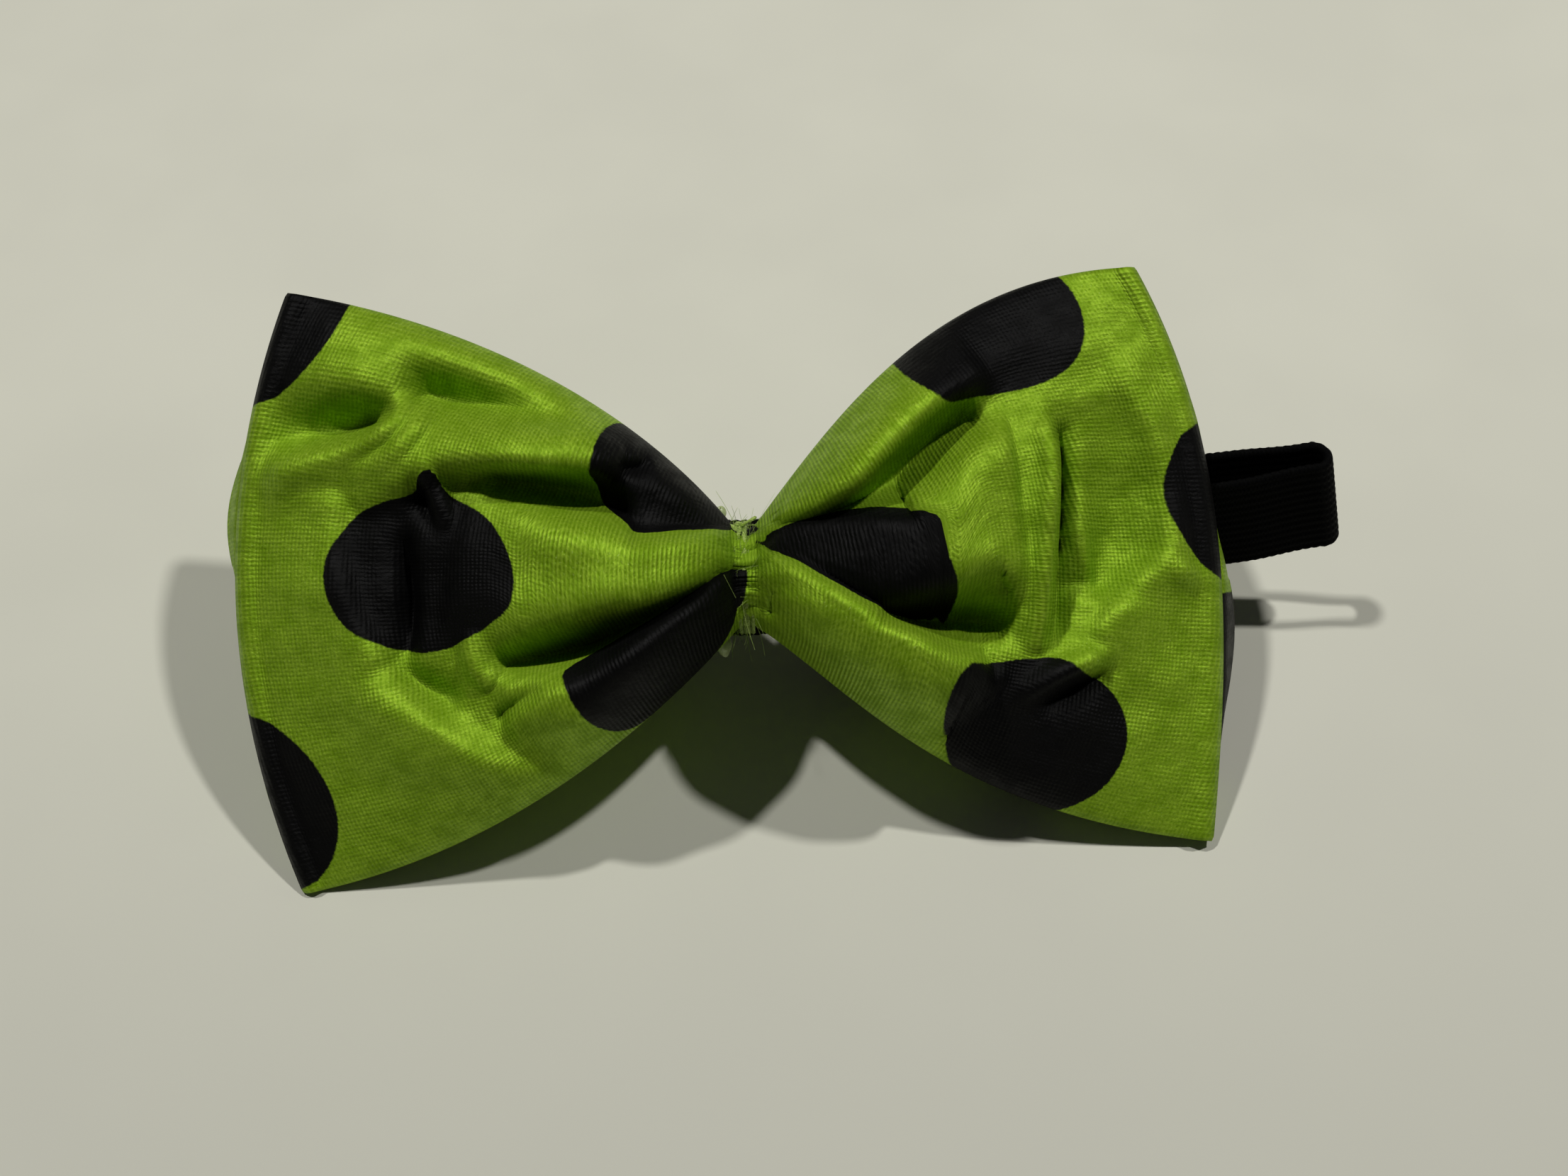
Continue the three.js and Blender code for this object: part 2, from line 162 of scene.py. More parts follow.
# A fold is how flat its crest is, and points of (x, height up the bow, rise, width left of its way, width
# right of it). A tuck has such points too, and its rise is its share of the cloth that is folded away.
# An outline is Bezier points from the pinch to the end seam, and "seam" runs up the end seam.
LEFT_FOLDS = {
    "top_limb": (2, [
        (-46, 30.4, 0.8, 4, 5), (-39, 29, 3.2, 4, 4), (-30, 26.2, 5.2, 4, 3.6), (-20, 21, 5, 3, 3.8),
        (-12, 14.6, 3, 3, 3), (-4, 7.2, 1, 2, 1.5),
    ]),
    "under_top_limb": (2, [
        (-38, 22.8, -1.6, 3, 1.8), (-31, 21.0, -4.6, 3.4, 2), (-24, 19.6, -4.6, 3.4, 1.8),
        (-17, 17.4, -2.6, 3, 1.5),
    ]),
    "s_crest": (2, [
        (-51, 23.5, 0.8, 5, 3), (-44, 23.2, 2, 5, 3), (-38.5, 22.6, 2.6, 4, 2), (-36, 20.5, 1.4, 2, 2),
    ]),
    "s_pocket": (2, [(-52, 17.4, -1.2, 3, 1.6), (-45, 17.9, -3.4, 3.4, 1.4), (-38.6, 19.4, -4.4, 2.2, 1.1)]),
    "ridge_one": (1.7, [
        (-54, 12.3, 1.4, 2, 3), (-47, 14.6, 2.8, 1.6, 2.6), (-41, 16.2, 3.2, 1.1, 1.8),
        (-37.2, 18.7, 3.4, 1, 1.4), (-35.8, 21.6, 1.4, 1.1, 1.5),
    ]),
    "ridge_between": (2, [
        (-43, 12.6, 0.6, 1.4, 1.4), (-38.2, 14.8, 1.8, 1, 1.2), (-35, 17.8, 2.2, 1, 1),
        (-33.8, 20.6, 0.6, 1, 1),
    ]),
    "ridge_two": (2, [
        (-43, 9.6, 0.8, 2.4, 2), (-38, 12.6, 2.6, 2.4, 2), (-33, 14.5, 4, 3.4, 2),
        (-28, 14.4, 5.6, 4.4, 1.2), (-24, 14.0, 6.2, 5, 1), (-20, 13.4, 6, 5, 1), (-15.8, 12.8, 4, 4, 1),
        (-13.4, 12, 1, 3, 1),
    ]),
    "upper_hollow": (2.6, [
        (-28.4, 12.2, -1.4, 1, 1.6), (-24, 11, -3.4, 1.8, 2.2), (-19, 10, -4.4, 2.4, 2.2),
        (-14.5, 8.4, -3.6, 2.4, 1.4), (-12, 6.8, -1, 1, 1),
    ]),
    "tongue": (5, [
        (-33, 3, 0.8, 8, 8), (-26, 1.4, 2.6, 9, 7.4), (-20, 1.4, 4.2, 6.6, 6.4), (-15, 1.6, 5, 5.2, 5),
        (-11.6, 1.4, 5.2, 3.6, 4.3), (-6, 2.4, 4.2, 2.8, 2.9), (-1.8, 3.6, 2, 1.7, 1.7),
    ]),
    "under_tongue": (2.2, [
        (-28.4, -8.4, -1.5, 1.8, 1), (-24, -8, -4, 2.4, 1.3), (-18, -6.8, -6.4, 2.4, 1.3),
        (-12, -4.4, -5.4, 1.5, 1), (-7, -1.8, -3, 1, 0.9), (-2, 1.6, -1, 0.7, 0.7),
    ]),
    "lower_limb": (2.2, [
        (-28, -13.4, 1.5, 3.4, 4), (-21, -12.2, 4.6, 2.9, 6), (-16, -10.4, 5.2, 2.8, 6),
        (-11, -6.8, 5, 2.1, 5), (-6, -2.8, 3.6, 1.7, 3.6), (-2, 0.8, 1.6, 1, 1.8),
    ]),
    "limb_groove": (2, [(-28.5, -14.8, -0.8, 1, 1), (-26, -12.8, -1.8, 1, 0.9), (-22, -10.9, -0.8, 1, 1)]),
    "link": (2, [(-30.4, -4, 0.6, 1.6, 1.2), (-30, -8, 2, 1.6, 1), (-28, -10.6, 1.2, 1.6, 1)]),
    "sweep": (1.6, [
        (-22, -20.6, 1.2, 6, 1.8), (-28, -19.2, 2.8, 7, 1.9), (-34, -15.3, 3.4, 8, 1.8),
        (-39, -9.8, 3.2, 8, 1.7), (-42.8, -3.2, 2.6, 8, 1.5), (-44.8, 4.4, 2.0, 7, 1.4),
        (-44.6, 12.2, 1.2, 5, 1.4),
    ]),
    "below_dot": (2, [(-41, -6.4, -1, 2, 2), (-36.4, -10.4, -2.6, 2, 2), (-31, -12.8, -1.4, 2, 2)]),
    "dot_valley": (2, [
        (-37.6, -8, -0.8, 1.4, 1.1), (-37, -3, -3.0, 1.6, 1), (-36.9, 2, -3.2, 1.6, 1),
        (-37.4, 7.4, -1, 1.4, 1),
    ]),
    "dot_spike": (2, [(-32.4, 6.4, 0.4, 0.8, 0.8), (-33.1, 10, 2, 0.8, 0.7), (-34.4, 13.6, 1.2, 0.8, 0.9)]),
    "spike_valley": (2, [
        (-33.8, 7, -0.4, 0.8, 0.8), (-34.9, 10, -1.4, 0.9, 0.7), (-36, 12.6, -0.7, 0.9, 0.9),
    ]),
    "edge_pocket": (2, [(-14, 12.4, -0.8, 1, 1.1), (-11.4, 12.5, -2.4, 1, 1.1), (-9.8, 12.9, -0.7, 1, 1)]),
}
LEFT_TUCKS = {
    "over_tongue": [
        (-24, 9.6, 0.1, 1, 1), (-15, 7.2, 0.6, 1, 1), (-12.4, 5.1, 1, 0.7, 0.7), (-6, 5.1, 1, 0.6, 0.6),
        (-1.7, 5.1, 1, 0.5, 0.5),
    ],
    "under_tongue": [
        (-29, -9.4, 0.1, 1, 1), (-20, -8.9, 0.8, 0.8, 0.8), (-12, -4.7, 1.3, 0.7, 0.7),
        (-6, -1, 1.3, 0.6, 0.6), (-1.7, 1.9, 1.3, 0.5, 0.5),
    ],
}

RIGHT_FOLDS = {
    "top_limb": (2, [
        (3, 6, 1, 1.5, 0.8), (8, 7.8, 4, 4, 0.9), (12, 9.8, 6, 5, 0.9), (14.6, 12.2, 6.4, 5, 0.9),
        (17.4, 15, 6, 5, 1.1), (21.5, 18.6, 4.6, 5, 1.6), (27, 22.4, 2.2, 5, 2.4),
    ]),
    "inner_hollow": (2.4, [
        (8, 6.8, -0.8, 0.9, 0.8), (13, 8.2, -3, 1.6, 1.4), (18.4, 10.8, -5.4, 3, 2.8),
        (22, 14, -5, 2.8, 2.6), (26.4, 18, -2.2, 2.2, 2.2),
    ]),
    "plateau": (6, [
        (2, 4.6, 0.6, 0.9, 1), (8, 3.4, 2, 2.9, 3.4), (14, 2.2, 3.8, 4.6, 5.6), (20, 2.2, 4.6, 4.8, 5),
        (25, 6, 4.4, 8, 8.2), (30.5, 6.8, 2.6, 9, 9.4),
    ]),
    "crease_ridge": (1.4, [
        (31.0, -10, 1.0, 1.2, 0.5), (31.9, -5, 2.2, 1.2, 0.45), (32.6, 0, 2.6, 1.3, 0.4),
        (33.4, 6, 3.2, 1.5, 0.35), (33.8, 11.5, 3.2, 1.5, 0.35), (32.8, 16.4, 1.8, 1.8, 0.8),
    ]),
    "crease_valley": (2, [
        (33.2, -9, -1.6, 0.6, 1.6), (33.9, -4, -3.4, 0.6, 1.7), (34.2, 0, -3.6, 0.5, 1.5),
        (34.9, 6, -4, 0.5, 1.2), (35.1, 12, -3.4, 0.5, 1.2), (34.4, 16, -1, 0.8, 1.4),
    ]),
    "dish": (2, [
        (38, -5, -4.2, 3.4, 3.4), (39.6, 3, -4.4, 4.6, 5), (40, 11, -2.8, 5, 4.6),
        (38.4, 19, -0.8, 4, 3.4),
    ]),
    "dish_rim": (1.7, [
        (37.4, -9.4, 1.2, 1.2, 2.6), (41.2, -4, 2.4, 1.3, 3), (46, 0.6, 2, 1.4, 3),
        (46.6, 7, 1.4, 1.8, 3), (44.6, 15, 1.6, 1.8, 3), (40.4, 23, 1, 2, 3),
    ]),
    "dish_streak": (2, [(37.8, -4.6, 0.4, 0.7, 0.7), (37.4, 0, 1, 0.7, 0.6), (36.6, 5, 0.4, 0.8, 0.8)]),
    "below_plateau": (2.4, [
        (13.4, -4.6, -1.4, 0.8, 0.7), (17, -5.4, -4, 1.4, 1), (22, -5.8, -6, 2.6, 1.6),
        (26.4, -6.2, -5.4, 2.6, 2), (28.8, -7.6, -1.8, 1.6, 1.4),
    ]),
    "lower_limb": (3, [
        (1.8, 1.9, 1.8, 1.4, 2.6), (6, -0.6, 4.6, 1.5, 5), (11, -3.9, 6.2, 1.5, 6.4), (16, -7, 7, 1.7, 7),
        (21, -10, 6.6, 1.6, 7), (24.4, -11, 4.4, 1.5, 6), (27, -13.4, 1, 1.6, 4),
    ]),
    "limb_notch": (2, [(24.8, -9.2, -0.8, 0.8, 0.8), (26, -11, -2.2, 0.8, 0.7), (26.6, -13, -0.6, 0.8, 0.8)]),
    "spike": (1.8, [(28.6, -14.8, 0.8, 1.4, 0.9), (33.4, -12, 2.4, 1.4, 0.9), (38.8, -9.9, 2.6, 1, 0.8)]),
    "spike_groove": (2, [
        (31, -15.6, -0.8, 1, 1.4), (35.6, -13.6, -1.8, 0.9, 1.4), (39.4, -11.6, -1.4, 0.8, 1.2),
    ]),
    "seam_tuck": (2, [(46.4, -0.8, 0.6, 0.8, 0.9), (48.4, -1.8, 1.5, 0.8, 0.9), (50, -3.4, 0.5, 0.8, 1)]),
    "waist_tuck": (2, [(3, -4.6, -1.3, 0.6, 0.9), (2.8, -2.6, -1.6, 0.5, 0.8), (3.4, -1.2, -0.4, 0.5, 0.6)]),
}
RIGHT_TUCKS = {
    "over_plateau": [
        (1.7, 4.7, 1, 0.3, 0.3), (6, 6.0, 1, 0.4, 0.4), (12, 6.5, 1, 0.4, 0.4), (18, 6.6, 0.9, 0.5, 0.5),
        (22, 6.6, 0.3, 0.8, 0.8),
    ],
    "over_lower_limb": [
        (1.7, 3.7, 1, 0.3, 0.3), (6, 1.2, 1, 0.4, 0.4), (11, -2.2, 1, 0.4, 0.4),
        (14.4, -4.4, 0.9, 0.5, 0.5), (20, -8, 0.6, 0.8, 0.8), (25, -9.4, 0.1, 1, 1),
    ],
}

LOBES = {
    "left": {
        "side": -1,
        "top": [(1.7, 5.6), (9, 15.5), (24, 27.5), (48.1, 32.5)],
        "bottom": [(1.7, -5.4), (12, -16), (28, -28), (49.2, -31.7)],
        "seam": [(49.2, -31.7), (57, -14), (57, 14), (48.1, 32.5)],
        "front_puff": 8.0,
        "upper_back_puff": 9.0,
        "belly_at": -0.38,
        "roll": (6.4, 0.3, 0.36),
        "bottom_lift": 4.0,
        "folds": LEFT_FOLDS,
        "tucks": LEFT_TUCKS,
    },
    "right": {
        "side": 1,
        "top": [(1.7, 5.6), (11, 17), (22, 31.5), (43.2, 31.3)],
        "bottom": [(1.7, -5.4), (11, -12), (21, -26), (49, -30.3)],
        "seam": [(49, -30.3), (51.5, -10), (53.4, 12), (43.2, 31.3)],
        "front_puff": 7.5,
        "upper_back_puff": 2.0,
        "belly_at": -0.5,
        "roll": (6.6, -0.36, 0.46),
        "bottom_lift": 3.0,
        "folds": RIGHT_FOLDS,
        "tucks": RIGHT_TUCKS,
    },
}

# Printed dots on the cloth: (along the bow, round the tube from the front's middle), both in cloth mm.
DOT_RADIUS = 10.3
FRONT_DOTS = [(-59.7, 30.3), (-33.8, 2.4), (-59.1, -22.7), (-8.2, 28.5), (-10, -23.6),
              (34.4, 31.0), (11.7, 0.6), (32.8, -24.7), (56.2, 5.8)]
BACK_DOTS = [(-38, 56), (-38, 84), (-14, 74), (-2, 52), (22, 62), (38, 87), (56, 81), (64, 49), (8, 86)]
# Where a pleat draws the edge of a dot outwards: along the bow, up it, by how much, and over what widths.
PRINT_PULLS = [
    [(-33.6, 8.5, 0.5, 1.4, 1), (-33.9, 12.4, 3.4, 1.5, 1.1), (-34.2, 15, 2.4, 1.2, 1)],
    [(36, -8.4, 1.4, 1.4, 1.6), (38.8, -9.2, 1.8, 1, 1.2), (40.6, -9.6, 0.8, 0.8, 0.8)],
]

# The folds and pulls are placed as seen from the front: VIEW_FROM is how far off that view is and
# VIEW_AXIS where it is square to the bow, so a point nearer to it looks farther out.
VIEW_FROM = 236.0
VIEW_AXIS = (4.1, -1.1)
USUAL_RELIEF = 2.5
TABLE_CLEAR = 0.45  # the outer face of the cloth stays this far above the table

STEPS_ALONG = 150
STEPS_FRONT = 132
STEPS_BACK = 84
WAIST_STEPS = 8
WAIST_PINCH = 0.15  # how much narrower the cloth is under the thread


# ---------- placing ----------
def joint_place(name):
    """Where a joint of the record sits, in millimetres."""
    joint = next(j for j in frame["joints"] if j["name"] == name)
    return [value / MM for value in joint["pos_m"]]


hinge_place = joint_place("loop_swing")
SHIFT = (hinge_place[0] - HINGE[0], hinge_place[1] - HINGE[1])


def from_bow(x, h, n):
    """Metres in the row frame from mm along the bow, up its height and out of its front."""
    out = np.empty(np.broadcast(x, h, n).shape + (3,))
    out[..., 0] = x + SHIFT[0]
    out[..., 1] = h * math.cos(LEAN) - n * math.sin(LEAN) + SHIFT[1]
    out[..., 2] = WAIST_HEIGHT + h * math.sin(LEAN) + n * math.cos(LEAN)
    return out * MM


def from_table(points):
    """Metres in the row frame from mm in the upright frame of the elastic loop."""
    out = np.array(points, dtype=float)
    out[..., 0] += SHIFT[0]
    out[..., 1] += SHIFT[1]
    return out * MM


# ---------- small maths ----------
def bezier(points, t):
    t = np.asarray(t, dtype=float)
    s = 1 - t
    weights = (s**3, 3 * s * s * t, 3 * s * t * t, t**3)
    return [sum(w * p[axis] for w, p in zip(weights, points)) for axis in (0, 1)]


def smooth(low, high, x):
    t = np.clip((np.asarray(x, dtype=float) - low) / (high - low), 0, 1)
    return t * t * (3 - 2 * t)


def along(table, x):
    """A smooth value along x from a short list of (x, value)."""
    xs, ys = (np.array(c, dtype=float) for c in zip(*table))
    slope = np.gradient(ys, xs)
    slope[1:-1] = (ys[2:] - ys[:-2]) / (xs[2:] - xs[:-2])
    at = np.clip(x, xs[0], xs[-1])
    i = np.clip(np.searchsorted(xs, at) - 1, 0, len(xs) - 2)
    span = xs[i + 1] - xs[i]
    t = (at - xs[i]) / span
    return (
        (2 * t**3 - 3 * t**2 + 1) * ys[i]
        + (t**3 - 2 * t**2 + t) * span * slope[i]
        + (3 * t**2 - 2 * t**3) * ys[i + 1]
        + (t**3 - t**2) * span * slope[i + 1]
    )


def catmull(points, per_span):
    """A smooth run through rows of numbers."""
    rows = np.array(points, dtype=float)
    padded = np.vstack([2 * rows[0] - rows[1], rows, 2 * rows[-1] - rows[-2]])
    out = []
    for i in range(1, len(padded) - 2):
        a, b, c, d = padded[i - 1 : i + 3]
        for t in np.arange(per_span) / per_span:
            squared = (2 * a - 5 * b + 4 * c - d) * t**2
            cubed = (3 * b - a - 3 * c + d) * t**3
            out.append(0.5 * (2 * b + (c - a) * t + squared + cubed))
    out.append(rows[-1])
    return np.array(out)


def seen(x, h, n):
    """Where cloth at depth n appears in the bow's plane, looked at from the front."""
    grow = VIEW_FROM / (VIEW_FROM - n)
    return VIEW_AXIS[0] + (x - VIEW_AXIS[0]) * grow, VIEW_AXIS[1] + (h - VIEW_AXIS[1]) * grow


def fold_rise(x, h, fold):
    """How far one fold lifts the cloth at each point of the bow's plane."""
    power, points = fold
    path = catmull(points, 24)
    heading = np.gradient(path[:, :2], axis=0)
    heading /= np.linalg.norm(heading, axis=1)[:, None]
    dx = x.ravel()[:, None] - path[:, 0]
    dh = h.ravel()[:, None] - path[:, 1]
    square = dx**2 + dh**2
    near = square.argmin(axis=1)
    pick = np.arange(len(near))
    distance = np.sqrt(square[pick, near])
    cross = heading[near, 0] * dh[pick, near] - heading[near, 1] * dx[pick, near]
    side = 0.5 + 0.5 * cross / np.maximum(distance, 1e-6)
    left, right = np.maximum(path[near, 3], 0.3), np.maximum(path[near, 4], 0.3)
    width = right + (left - right) * side
    ends = smooth(0, 8, near) * smooth(0, 8, len(path) - 1 - near)
    rise = path[near, 2] * np.exp(-((distance / width) ** power)) * (0.35 + 0.65 * ends)
    return rise.reshape(x.shape)


def waves(x, h, count, shortest, longest, seed):
    """Soft random crumpling, about -1 to 1."""
    pick = np.random.default_rng(seed)
    total = np.zeros_like(x)
    for _ in range(count):
        length = pick.uniform(shortest, longest)
        angle = pick.uniform(0, 2 * math.pi)
        phase = pick.uniform(0, 2 * math.pi)
        total += np.sin(2 * math.pi * (x * math.cos(angle) + h * math.sin(angle)) / length + phase)
    return total / math.sqrt(count)


def soft_least(a, b, rounding):
    """The lesser of two depths, with a rounded change from one to the other."""
    return (a + b - np.sqrt((a - b) ** 2 + rounding)) / 2


def edge_arch(u, span):
    """An arch over the last share of a lobe, before its end seam."""
    return np.sin(math.pi * np.clip((1 - u) / span, 0, 1))


# ---------- the elastic's course ----------
def across_angle(x):
    return LEAN + (math.radians(90 - ELASTIC_TOP_LEAN) - LEAN) * smooth(TWIST_FROM, ANCHOR[1], x)


def elastic_depth(x, h):
    """How far behind the bow's plane the cloth may reach before it meets the elastic."""
    band = np.where(x < ANCHOR[1], ELASTIC_DOUBLE / 2, along(LOOP_SPREAD, x) / 2 + ELASTIC_THICKNESS / 2)
    clear = band + ELASTIC_ROOM["clear"]
    angle = across_angle(x)
    forward = h * math.cos(LEAN) - along(LOOP_LINE, x)
    above = WAIST_HEIGHT + h * math.sin(LEAN) - ELASTIC_HEIGHT
    depth = (above * np.cos(angle) - forward * np.sin(angle) - clear) / np.cos(angle - LEAN)
    up = (above - depth * math.cos(LEAN)) * np.sin(angle)
    reach = (forward + depth * math.sin(LEAN)) * np.cos(angle) + up
    edge = ELASTIC_WIDTH / 2 + ELASTIC_ROOM["edge"]
    let_out = np.maximum(reach - edge, 0) + ELASTIC_ROOM["below"] * np.maximum(-edge - reach, 0)
    let_out += ELASTIC_ROOM["past_end"] * np.maximum(ANCHOR[0] - 1 - x, 0)
    return np.maximum(depth, ELASTIC_ROOM["least"]) + let_out


# ---------- the cloth ----------
def table_depth(h):
    """How far behind the bow's plane the table is, at height h up the bow."""
    return (WAIST_HEIGHT + h * math.sin(LEAN)) / math.cos(LEAN) - TABLE_GAP


def lobe_plane(lobe, u, v):
    """Where cloth at (u, v) lies in the bow's plane: u from the pinch to the end seam, v up the bow."""
    share = (v + 1) / 2
    x_top, h_top = bezier(lobe["top"], u)
    x_bottom, h_bottom = bezier(lobe["bottom"], u)
    straight = x_bottom + (x_top - x_bottom) * share
    seam_low, seam_high = lobe["bottom"][3][0], lobe["top"][3][0]
    bulge = bezier(lobe["seam"], share)[0] - (seam_low + (seam_high - seam_low) * share)
    return lobe["side"] * (straight + bulge * u * u), h_bottom + (h_top - h_bottom) * share


def hem_lift(lobe, u, v):
    """The bottom fold stands forward between the pinch and the corner."""
    skew, power = HEM_ARCH
    return lobe["bottom_lift"] * np.sin(math.pi * u**skew) ** power * ((1 - v) / 2) ** HEM_FALL


def front_depth(lobe, u, v, x, h):
    rounded = np.sqrt(np.maximum(1 - v * v, 0))
    swell = np.sin(math.pi * u**SWELL_SKEW) ** FRONT_SWELL
    depth = CLOTH / 2 + (WAIST_DEPTH * (1 - u) ** 3 + lobe["front_puff"] * swell) * rounded
    keep = (1 - np.abs(v) ** EDGE_POWER) * smooth(*RELIEF_FADE, u)
    at = seen(x, h, depth + hem_lift(lobe, u, v) + USUAL_RELIEF * keep)
    relief = sum(fold_rise(*at, fold) for fold in lobe["folds"].values())
    crumple = FRONT_CRUMPLE[0] * waves(x, h, *FRONT_CRUMPLE[1]) * smooth(*CRUMPLE_GROWS, u)
    pleats = PLEAT_RISE * np.cos(math.pi * PLEAT_COUNT * v + PLEAT_SHIFT)
    pleats = pleats * np.exp(-((np.abs(x) - WAIST_HALF) / PLEAT_REACH))
    rise, span = SEAM_BEAD
    bead = rise * edge_arch(u, span)
    return depth + keep * (relief + crumple + pleats) + bead + hem_lift(lobe, u, v)


def back_depth(lobe, u, v, x, h):
    rounded = np.sqrt(np.maximum(1 - v * v, 0))
    swell = np.sin(math.pi * u**SWELL_SKEW) ** BACK_SWELL
    belly = BELLY_DEPTH * np.exp(-(((v - lobe["belly_at"]) / BELLY_SPREAD) ** 2))
    upper = lobe["upper_back_puff"] * np.maximum(v - UPPER_BACK[0], 0) ** UPPER_BACK[1]
    depth = CLOTH / 2 + (WAIST_DEPTH * (1 - u) ** 3 + (BACK_PUFF + upper + belly) * swell) * rounded
    depth += BACK_CRUMPLE[0] * waves(x, h, *BACK_CRUMPLE[1]) * rounded * smooth(*CRUMPLE_GROWS, u)
    depth = soft_least(depth, elastic_depth(x, h), ELASTIC_ROUNDING)
    depth = soft_least(depth, table_depth(h), TABLE_ROUNDING)
    return hem_lift(lobe, u, v) - depth


def cloth_round(lobe, x, h, n, v):
    """How far round the tube each point of the front is: its arc up from the bottom fold, and in the tucks
    the rest of the cloth, which is folded away out of sight."""
    arc = np.sqrt(np.diff(x, axis=1) ** 2 + np.diff(h, axis=1) ** 2 + np.diff(n, axis=1) ** 2)
    shown = arc.sum(axis=1, keepdims=True)
    tucked = TUCK_LEAST * arc / shown
    for tuck in lobe["tucks"].values():
        hidden = fold_rise(*seen(x, h, n), (2, tuck))[:, 1:]
        amount = hidden.max(axis=1, keepdims=True)
        tucked += amount * hidden * arc / np.maximum((hidden * arc).sum(axis=1, keepdims=True), 1e-9)
    tucked /= tucked.sum(axis=1, keepdims=True)
    gathering = np.minimum(1, (1 - HIDDEN) * 2 * HALF_TUBE / shown)
    step = arc * gathering + tucked * (2 * HALF_TUBE - shown * gathering)
    by_arc = np.hstack([np.zeros((len(x), 1)), np.cumsum(step, axis=1)]) - HALF_TUBE
    gathered = smooth(*GATHERED, np.abs(x))
    return by_arc * gathered + v * HALF_TUBE * (1 - gathered)


def roll_out(lobe, u, v, x, h, n):
    """The back panel rolls out past the end seam, and sinks behind the front as it does."""
    height, middle, spread = lobe["roll"]
    share = ROLL_LEAST + (1 - ROLL_LEAST) * np.exp(-(((v - middle) / spread) ** 2))
    roll = height * share * (1 - v**4) * edge_arch(u, ROLL_SPAN) ** ROLL_POWER
    sink, span = SEAM_GROOVE
    n = n - ROLL_DROP * roll - sink * edge_arch(u, span) * (1 - v**4)
    return x + lobe["side"] * roll, np.maximum(n, -table_depth(h))


def lobe_rings(lobe):
    """Rings of cloth from the pinch to the end seam: positions, and the cloth's own coordinates in mm."""
    u = (np.arange(STEPS_ALONG + 1) / STEPS_ALONG)[:, None]
    turn = np.pi * np.arange(STEPS_FRONT + 1) / STEPS_FRONT
    v_front = -np.cos(turn * RING_SPREAD[0] + np.pi * RING_SPREAD[1])[None, :]
    v_front = v_front / np.abs(v_front).max()
    v_back = np.cos(np.pi * np.arange(1, STEPS_BACK) / STEPS_BACK)[None, :]
    sheets = []
    for v, face in ((v_front, 1), (v_back, -1)):
        uu, vv = np.broadcast_arrays(u, v)
        x, h = lobe_plane(lobe, uu, vv)
        n = (front_depth if face > 0 else back_depth)(lobe, uu, vv, x, h)
        if face < 0:
            x, n = roll_out(lobe, uu, vv, x, h, n)
        run = np.hypot(np.diff(x, axis=0), np.diff(h, axis=0))
        first = np.full((1, x.shape[1]), WAIST_HALF)
        a = lobe["side"] * np.vstack([first, WAIST_HALF + np.cumsum(run, axis=0)])
        b = cloth_round(lobe, x, h, n, vv) if face > 0 else HALF_TUBE * (2 - vv)
        sheets.append((x, h, n, a, b))
    return [np.hstack(pair) for pair in zip(*sheets)]


def grid_faces(rows, columns, closed):
    faces = []
    across = columns if closed else columns - 1
    for r in range(rows - 1):
        for c in range(across):
            d = (c + 1) % columns
            faces.append((r * columns + c, r * columns + d, (r + 1) * columns + d, (r + 1) * columns + c))
    return faces


def capped_faces(rows, columns, first=0, inward=False):
    """The faces of a row of rings and of its two ends; inward is for rings that run the other way round."""
    faces = [tuple(first + i for i in face) for face in grid_faces(rows, columns, True)]
    start = tuple(first + i for i in range(columns))
    end = tuple(first + (rows - 1) * columns + i for i in range(columns))
    return faces + ([start[::-1], end] if inward else [start, end[::-1]])


def add_mesh(name, points, faces, material):
    mesh = bpy.data.meshes.new(name)
    mesh.from_pydata([tuple(p) for p in np.reshape(points, (-1, 3))], [], faces)
    mesh.shade_smooth()
    piece = bpy.data.objects.new(name, mesh)
    bpy.context.scene.collection.objects.link(piece)
    mesh.materials.append(material)
    return piece


def corner_uv(piece, name, values):
    """A UV map from one pair of numbers per vertex."""
    mesh = piece.data
    layer = mesh.uv_layers.new(name=name)
    loops = np.empty(len(mesh.loops), dtype=np.int64)
    mesh.loops.foreach_get("vertex_index", loops)
    layer.data.foreach_set("uv", np.asarray(values, dtype=np.float32)[loops].ravel())


def point_value(piece, name, values):
    layer = piece.data.attributes.new(name, "FLOAT", "POINT")
    layer.data.foreach_set("value", np.asarray(values, dtype=np.float32).ravel())


def dot_distance(x, h, n, a, b):
    """How far each bit of cloth is outside the nearest printed dot, in mm."""
    ring = 4 * HALF_TUBE
    nearest = np.full(a.shape, 99.0)
    for dot_a, dot_b in FRONT_DOTS + BACK_DOTS:
        off = (b - dot_b + ring / 2) % ring - ring / 2
        nearest = np.minimum(nearest, np.hypot(a - dot_a, off) - DOT_RADIUS)
    pulls = sum(fold_rise(*seen(x, h, n), (2, pull)) for pull in PRINT_PULLS)
    return nearest - pulls * (np.abs(b) < HALF_TUBE)


def cloth_grid():
    """The whole tube from the left end seam to the right one: x, h, n, and the cloth's own coordinates."""
    left = [part[::-1] for part in lobe_rings(LOBES["left"])]
    right = lobe_rings(LOBES["right"])
    waist = []
    for t in np.arange(1, WAIST_STEPS) / WAIST_STEPS:
        ring = [l[-1] * (1 - t) + r[0] * t for l, r in zip(left, right)]
        pinch = 1 - 4 * WAIST_PINCH * t * (1 - t)
        waist.append([ring[0], ring[1] * pinch, ring[2] * pinch, ring[3], ring[4]])
    middle = [np.array(part) for part in zip(*waist)]
    return [np.vstack(parts) for parts in zip(left, middle, right)]


